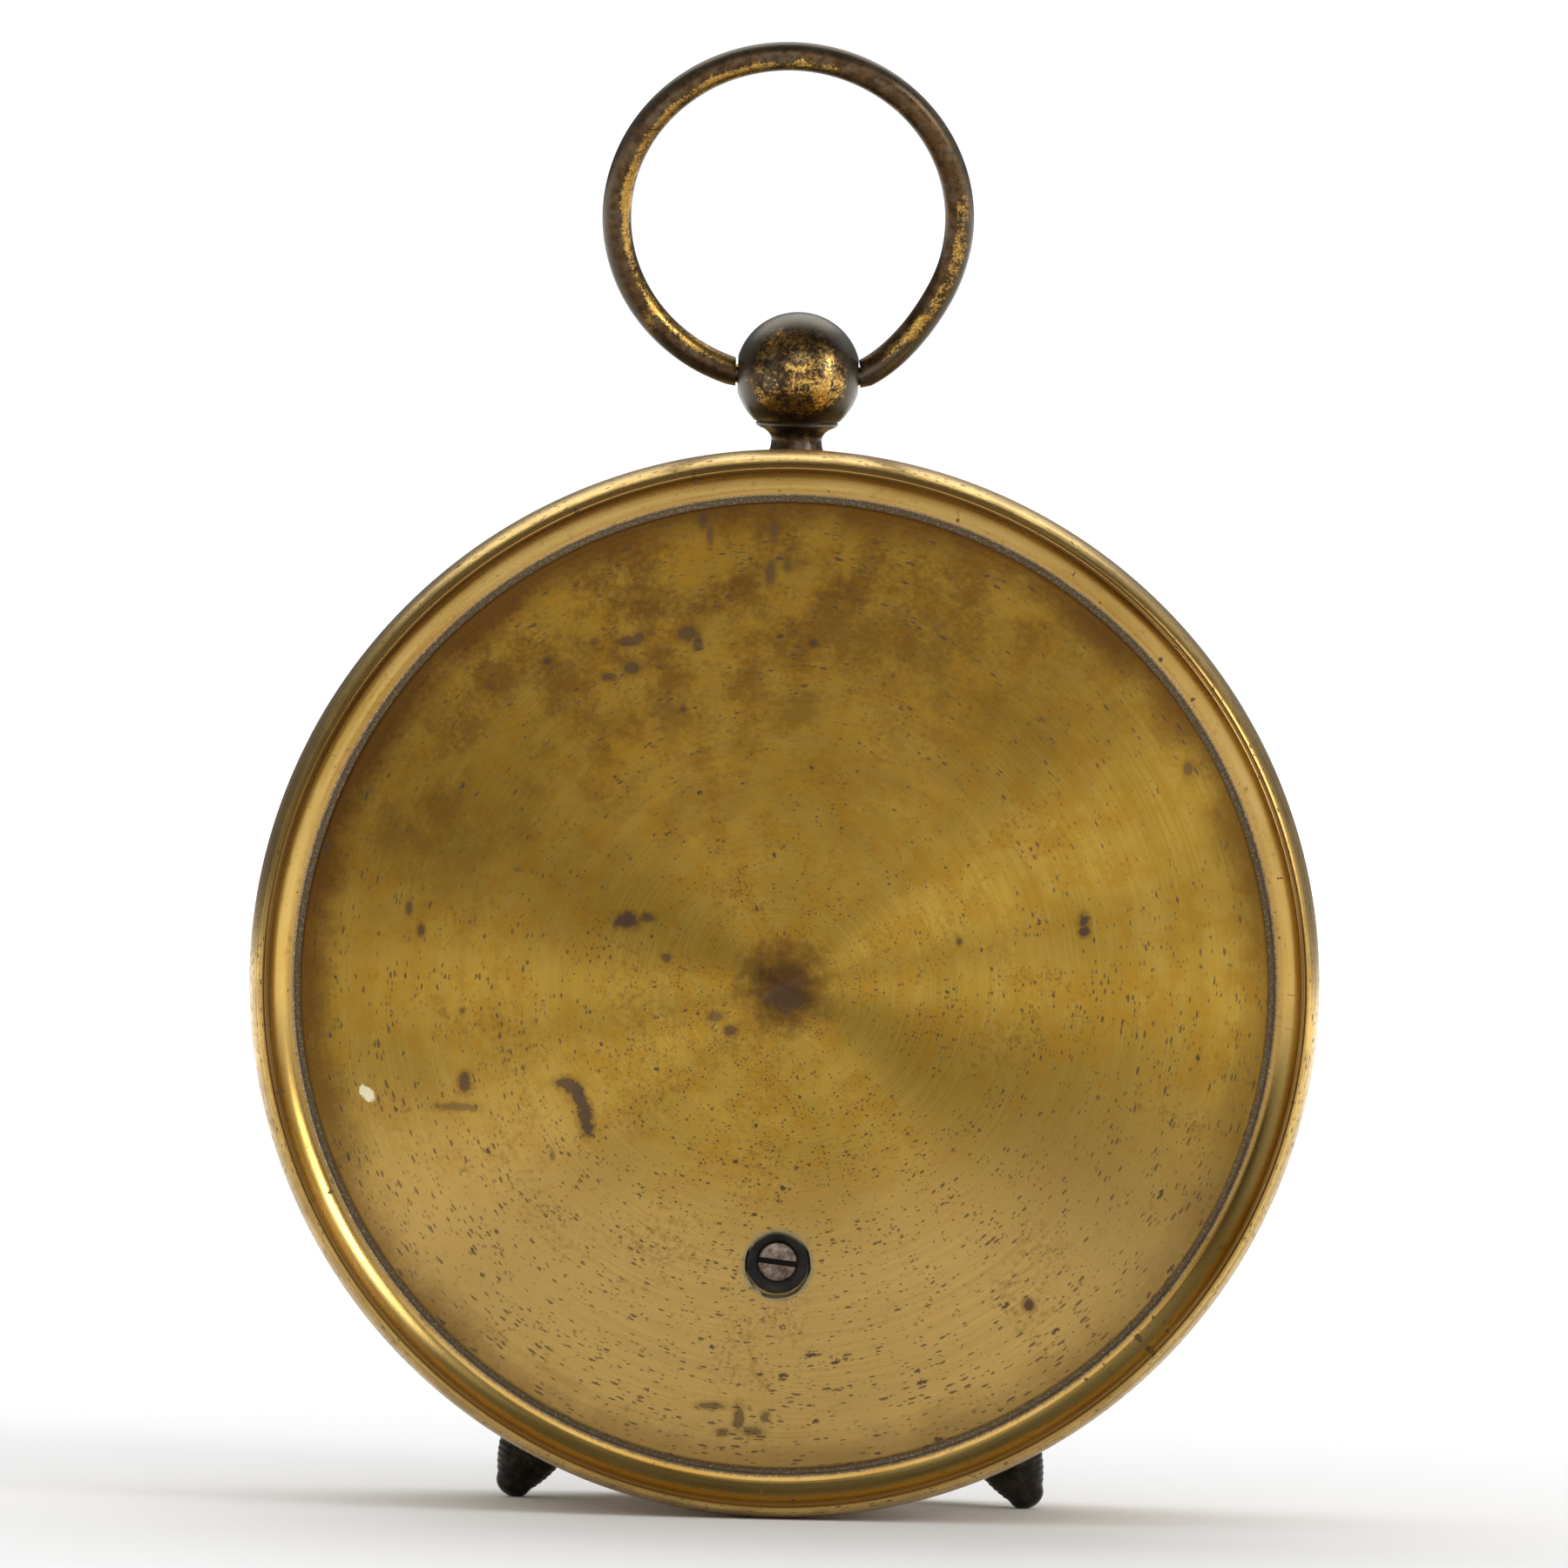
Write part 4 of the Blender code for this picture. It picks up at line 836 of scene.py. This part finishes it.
def bezel():
    profile = [(56.8, 37.3), (56.9, 37.2), (57.2, 37.2), (57.45, 37.5), (57.6, 38.2), (57.6, 40.6)]
    profile += arc(58.1, 40.9, 0.5, 0.6, 185, 120, 4)
    profile += arc(56.3, 43.6, 1.9, 2.5, -42, 60, 16) + arc(56.0, 46.55, 1.5, 0.82, 38, 100, 7)
    profile += arc(53.9, 46.75, 1.2, 0.32, 70, 165, 6)
    profile += arc(52.1, 46.25, 0.5, 0.35, 100, 180, 5)
    profile += [(51.6, 45.9), (GLASS_R + 0.3, 45.9), (GLASS_R + 0.3, 43.3), (56.8, 43.3)]
    settle(raw("front_bezel", lathe(profile)), "rim", "bezel_group", ["bezel"])


def glass():
    """Bevelled glass with a bore for the knob's spindle, and the wire ring that holds it."""
    bore = 1.6
    profile = [(bore, GLASS_BACK), (GLASS_R - 0.2, GLASS_BACK), (GLASS_R, GLASS_BACK + 0.2), (GLASS_R, 44.9),
               (51.4, GLASS_FRONT), (bore, GLASS_FRONT)]
    settle(raw("bevelled_glass", lathe(profile, FRONT_SEG)), "glass", "bezel_group", ["glass"], smooth=10)
    profile = arc(53.3, 43.25, 0.78, 0.34, 0, 345, 23)
    settle(raw("split_ring", lathe(profile, FRONT_SEG)), "turned_brass", "bezel_group", ["glass_retainer"])


def sight_ring():
    profile = [(54.7, 39.35), (54.7, 42.5), (54.6, 42.6), (54.25, 42.6), (54.1, 42.5), (50.1, 39.98),
               (50.0, 39.85), (50.0, 39.3)]
    settle(raw("sight_ring_cone", lathe(profile, FRONT_SEG)), "rim", "case", ["sight_ring"])


def scale_angle(inches):
    """Angle on the dial of a pressure in inches of mercury, anticlockwise from X."""
    return math.radians(90.0 - (inches - SCALE_MID) * SCALE_TURN)


INK_LOW = DIAL_TOP + 0.005
INK_HIGH = DIAL_TOP + 0.06


def tick(radius_in, radius_out, half, angle):
    bar = [(radius_in, -half), (radius_out, -half), (radius_out, half), (radius_in, half)]
    return moved(prism(bar, INK_LOW, INK_HIGH), Matrix.Rotation(angle, 4, "Z"))


def ink_circle(radius, half):
    return lathe([(radius - half, INK_LOW), (radius + half, INK_LOW), (radius + half, INK_HIGH),
                  (radius - half, INK_HIGH)], FRONT_SEG)


def lettering(text, size, radius, angle):
    """Text laid on the dial, its feet towards the middle."""
    curve = bpy.data.curves.new("letters", "FONT")
    curve.body = text
    curve.size = size
    curve.align_x = "CENTER"
    curve.align_y = "CENTER"
    curve.extrude = 0.025
    curve.resolution_u = 4
    obj = bpy.data.objects.new("letters", curve)
    bpy.context.scene.collection.objects.link(obj)
    mesh = bpy.data.meshes.new_from_object(obj.evaluated_get(bpy.context.evaluated_depsgraph_get()))
    bpy.data.objects.remove(obj)
    bpy.data.curves.remove(curve)
    bm = bmesh.new()
    bm.from_mesh(mesh)
    bpy.data.meshes.remove(mesh)
    turn = Matrix.Rotation(angle - math.pi / 2, 4, "Z")
    return moved(bm, Matrix.Translation((0, 0, DIAL_TOP + 0.035)) @ turn @ Matrix.Translation((0, radius, 0)))


def dial():
    """Silvered disc, with its scale, figures and words printed on it as one piece."""
    back = DIAL_TOP - 1.0
    hole = DIAL_HOLE - 0.05
    profile = [(hole, back + 0.05), (hole, DIAL_TOP - 0.05), (DIAL_HOLE, DIAL_TOP)]
    profile += [(hole + (DIAL_R - 0.2 - hole) * i / 24, DIAL_TOP) for i in range(1, 25)]
    profile += [(DIAL_R, DIAL_TOP - 0.2), (DIAL_R, back), (DIAL_HOLE, back)]
    obj = raw("silvered_dial_plate", lathe(profile, FRONT_SEG))
    for x, v in dial_screw_spots():
        drill = lathe([(0, 36), (1.15, 36), (1.15, 41), (0, 41)], 24)
        boolean(obj, moved(drill, Matrix.Translation((x, v, 0))))
    settle(obj, "silvered", "case", ["dial"])
    merged = bmesh.new()
    parts = []
    for i in range(0, 301):
        inches = 28.0 + i / 100.0
        if i % 10 == 0:
            parts.append(tick(40.5, 45.5, 0.17, scale_angle(inches)))
        elif i % 5 == 0:
            parts.append(tick(41.7, 44.6, 0.10, scale_angle(inches)))
        elif i % 2 == 0:
            parts.append(tick(42.6, 44.6, 0.06, scale_angle(inches)))
    for radius, half in ((44.8, 0.08), (45.7, 0.16), (42.4, 0.05)):
        parts.append(ink_circle(radius, half))
    for i in range(4):
        parts.append(lettering(str(28 + i), 6.4, 35.6, scale_angle(28 + i)))
    for i in range(1, 6, 2):
        parts.append(lettering("5", 3.4, 37.4, scale_angle(28 + i / 2)))
    for word, inches in (("RAIN", 28.62), ("CHANGE", 29.5), ("FAIR", 30.38)):
        for k, letter in enumerate(word):
            spread = (k - (len(word) - 1) / 2) * 0.118
            parts.append(lettering(letter, 3.5, 28.6, scale_angle(inches + spread)))
    for part in parts:
        mesh = bpy.data.meshes.new("part")
        part.to_mesh(mesh)
        part.free()
        merged.from_mesh(mesh)
        bpy.data.meshes.remove(mesh)
    settle(raw("dial_print", merged), "ink", "case", smooth=20)


def dial_screw_spots():
    turns = [math.radians(degrees) for degrees in (70, 190, 310)]
    return [(DIAL_SCREW_R * math.cos(turn), DIAL_SCREW_R * math.sin(turn)) for turn in turns]


def hand(name, low, high, reach, hub_r, bore, width, tail, turn, look, node):
    """Tapered hand, pierced crescent tail and domed hub."""
    root = 1.5
    outline = [(-width * (1 - 0.62 * t / 8), root + (reach * 0.84 - root) * t / 8) for t in range(9)]
    outline += [(-0.1, reach), (0.1, reach)] + [(-x, y) for x, y in reversed(outline)]
    outline += [(width * 0.8, -tail), (-width * 0.8, -tail)]
    obj = raw(name, prism(outline, low, low + 0.4))
    disc = lathe([(0, low), (2.58, low), (2.58, low + 0.4), (0, low + 0.4)], 64)
    boolean(obj, moved(disc, Matrix.Translation((0, -tail, 0))), "UNION")
    boolean(obj, moved(lathe([(0, low - 1), (1.3, low - 1), (1.3, low + 1), (0, low + 1)], 48),
                       Matrix.Translation((0, -tail - 0.75, 0))))
    hub = lathe([(0, low - 0.2), (hub_r, low - 0.2), (hub_r, high - 0.35)]
                + arc(hub_r - 0.35, high - 0.35, 0.35, 0.35, 20, 90, 4) + [(0, high)], 64)
    boolean(obj, hub, "UNION")
    # the pointer's hub is blind, the set hand's is bored right through
    bore_end = high - 0.4 if node == "pointer" else high + 1
    boolean(obj, lathe([(0, low - 2), (bore, low - 2), (bore, bore_end), (0, bore_end)], 32))
    bevel(obj, 0.06, 1, 50)
    obj.data.transform(Matrix.Rotation(math.radians(turn), 4, "Z"))
    body = "indicator" if node == "pointer" else "set_group"
    settle(obj, look, body, [node], smooth=30)


def set_knob():
    """Knob on the glass that turns the set hand: a low dome with a knurled edge."""
    knurls = 40
    profile = [(0, 48.7), (1.1, 48.7), (1.1, 46.6), (2.4, 46.6), (3.9, 47.1)]
    profile += arc(3.9, 47.5, 0.4, 0.4, -60, 0, 3)
    profile += [(4.3, 47.8 + 0.2 * i) for i in range(7)] + arc(3.9, 49.2, 0.4, 0.4, 10, 80, 4)
    profile += arc(2.6, 49.55, 0.35, 0.35, 60, 110, 3) + [(2.0, 49.8)]
    profile += arc(0, 48.3, 2.0, 1.8, 60, 90, 4)[:-1] + [(0, 50.1)]
    bm = lathe(profile, 4 * knurls)
    for vert in bm.verts:
        if math.hypot(vert.co.x, vert.co.y) > 4.1:
            grow = 1.0 + 0.02 * math.cos(math.atan2(vert.co.y, vert.co.x) * knurls) - 0.01
            vert.co.x *= grow
            vert.co.y *= grow
    settle(raw("knurled_knob", bm), "turned_brass", "set_group", ["set_knob"], smooth=55)


bezel()
glass()
sight_ring()
dial()
for number, (sx, sv) in enumerate(dial_screw_spots()):
    settle(slotted_head("dial_screw_head_%d" % (number + 1), 2.0, 40.2, 39.3, 0.8, 33.4, 0.5, 0.4,
                        35.0 * number + 20, sx, sv), "blued", "case", ["dial_screw_%d" % (number + 1)])
hand("barometer_hand", 40.6, 41.7, 43.0, 2.2, 0.8, 1.0, 15.0, 0.0, "blued", "pointer")
hand("marker_hand", 42.4, 43.4, 40.0, 2.3, 1.1, 0.9, 11.0, -18.0, "turned_brass", "set_hand")
set_knob()

# ------------------------------------------------------------------ floor, light and camera
SIDE_WALL = 0.55
ROOM = 0.02
UPPER_ROOM = 2.4
CEILING = 1.7
FLOOR_LIGHT = 0.95


def floor():
    bm = bmesh.new()
    bmesh.ops.create_grid(bm, x_segments=8, y_segments=8, size=6.0)
    obj = raw("studio_floor", bm)
    n = Nodes("studio_floor_paint")
    p = n.coords()
    x, y, z = n.split(p)
    reach = n.length(x, y)
    color = n.mix(n.noise(p, 0.002, 3.0), (0.92, 0.92, 0.92), (0.95, 0.95, 0.95))
    # painted shadow: the floor is greyer near the object
    color = n.mix(n.step(reach, 620.0, 60.0), color, (0.74, 0.74, 0.74))
    # the sweep far from the object is lit by lamps of its own
    # painted light: the floor glows, more with distance from the object, so the sweep far away is white
    n.put(n.shader.inputs["Emission Strength"], n.step(reach, 90.0, 900.0, 0.0, 0.55))
    paint = n.finish(color, 0.85, 0.0, Specular_IOR_Level=0.2, Emission_Color=(1.0, 1.0, 1.0, 1.0))
    obj.data.materials.append(paint)


def world():
    """White to the camera and the floor. Reflections see a tall bright panel behind the camera and dim walls."""
    wd = bpy.data.worlds.new("studio")
    bpy.context.scene.world = wd
    wd.use_nodes = True
    tree = wd.node_tree
    tree.nodes.clear()
    link = tree.links.new

    def ramp(source, low, high, to_low, to_high):
        node = tree.nodes.new("ShaderNodeMapRange")
        node.interpolation_type = "SMOOTHSTEP"
        link(source, node.inputs["Value"])
        for key, value in (("From Min", low), ("From Max", high), ("To Min", to_low), ("To Max", to_high)):
            node.inputs[key].default_value = value
        return node.outputs[0]

    def background(strength):
        node = tree.nodes.new("ShaderNodeBackground")
        node.inputs["Color"].default_value = (1.0, 1.0, 1.0, 1.0)
        if isinstance(strength, float):
            node.inputs["Strength"].default_value = strength
        else:
            link(strength, node.inputs["Strength"])
        return node

    def choose(factor, first, second):
        node = tree.nodes.new("ShaderNodeMixShader")
        link(factor, node.inputs[0])
        link(first.outputs[0], node.inputs[1])
        link(second.outputs[0], node.inputs[2])
        return node

    def math_node(operation, *values):
        node = tree.nodes.new("ShaderNodeMath")
        node.operation = operation
        for socket, value in zip(node.inputs, values):
            link(value, socket)
        return node.outputs[0]

    coord = tree.nodes.new("ShaderNodeTexCoord")
    split = tree.nodes.new("ShaderNodeSeparateXYZ")
    link(coord.outputs["Generated"], split.inputs[0])
    side, depth, height = split.outputs
    steep = math_node("ARCTAN2", math_node("ABSOLUTE", height), math_node("ABSOLUTE", side))
    front = ramp(steep, math.radians(15), math.radians(40), ROOM, UPPER_ROOM)
    overhead = ramp(steep, math.radians(50), math.radians(88), 1.0, CEILING / UPPER_ROOM)
    front = math_node("MULTIPLY", front, overhead)
    front = math_node("MULTIPLY", front, ramp(depth, 0.70, 0.92, 0.05, 1.0))
    # the walls: bright beside the object, dimmer behind it and on the far side, with no bright zenith
    low_wall = math_node("MAXIMUM", ramp(depth, -0.50, -0.10, 0.45, 1.0), ramp(height, 0.1, 0.5, 0.0, 1.0))
    wall = math_node("MULTIPLY", ramp(depth, 0.20, 0.58, SIDE_WALL, 0.0), low_wall)
    wall = math_node("MULTIPLY", wall, ramp(side, -0.3, 0.6, 1.0, 0.55))
    open_sky = math_node("MAXIMUM", ramp(height, 0.25, 0.75, 1.0, 0.15), ramp(depth, -0.35, -0.05, 1.0, 0.0))
    room = math_node("MAXIMUM", front, math_node("MULTIPLY", wall, open_sky))
    path = tree.nodes.new("ShaderNodeLightPath")
    glossy = choose(path.outputs["Is Diffuse Ray"], background(room), background(FLOOR_LIGHT))
    mix = choose(path.outputs["Is Camera Ray"], glossy, background(1.1))
    link(mix.outputs[0], tree.nodes.new("ShaderNodeOutputWorld").inputs[0])


def softbox(name, place, aim, width, height, power):
    light = bpy.data.lights.new(name, "AREA")
    light.shape = "RECTANGLE"
    light.size = width
    light.size_y = height
    light.energy = power
    obj = bpy.data.objects.new(name, light)
    obj.location = place
    obj.rotation_euler = (Vector(aim) - Vector(place)).to_track_quat("-Z", "Y").to_euler()
    bpy.context.scene.collection.objects.link(obj)


def camera():
    """Level with the top of the drum, looking at the back, rolled by the object's own lean."""
    distance = 1.75
    rim_y = (ORIGIN + AXIS * RIM_A * MM).y
    aim = Vector((0.0006, rim_y, 0.0824))
    place = Vector((0.0159, rim_y + distance, 0.1117))
    data = bpy.data.cameras.new("photo_camera")
    data.sensor_width = 36.0
    data.lens = 36.0 * distance / 0.1757
    data.clip_start = 0.05
    data.clip_end = 50.0
    obj = bpy.data.objects.new("photo_camera", data)
    roll = Matrix.Rotation(math.radians(1.4), 4, "Z")
    look = (aim - place).to_track_quat("-Z", "Y").to_matrix().to_4x4()
    obj.matrix_world = Matrix.Translation(place) @ look @ roll
    bpy.context.scene.collection.objects.link(obj)
    bpy.context.scene.camera = obj


floor()
world()
softbox("overhead", (0.1, -0.80, 1.25), (0, 0, 0.04), 1.8, 1.1, 9.5)
softbox("key", (-1.05, 0.66, 0.50), (0, 0, 0.08), 0.34, 0.46, 5.4)
softbox("fill", (1.2, 1.0, 0.9), (0, 0, 0.08), 0.9, 0.9, 0.3)
camera()
bpy.context.scene.view_settings.view_transform = "Standard"
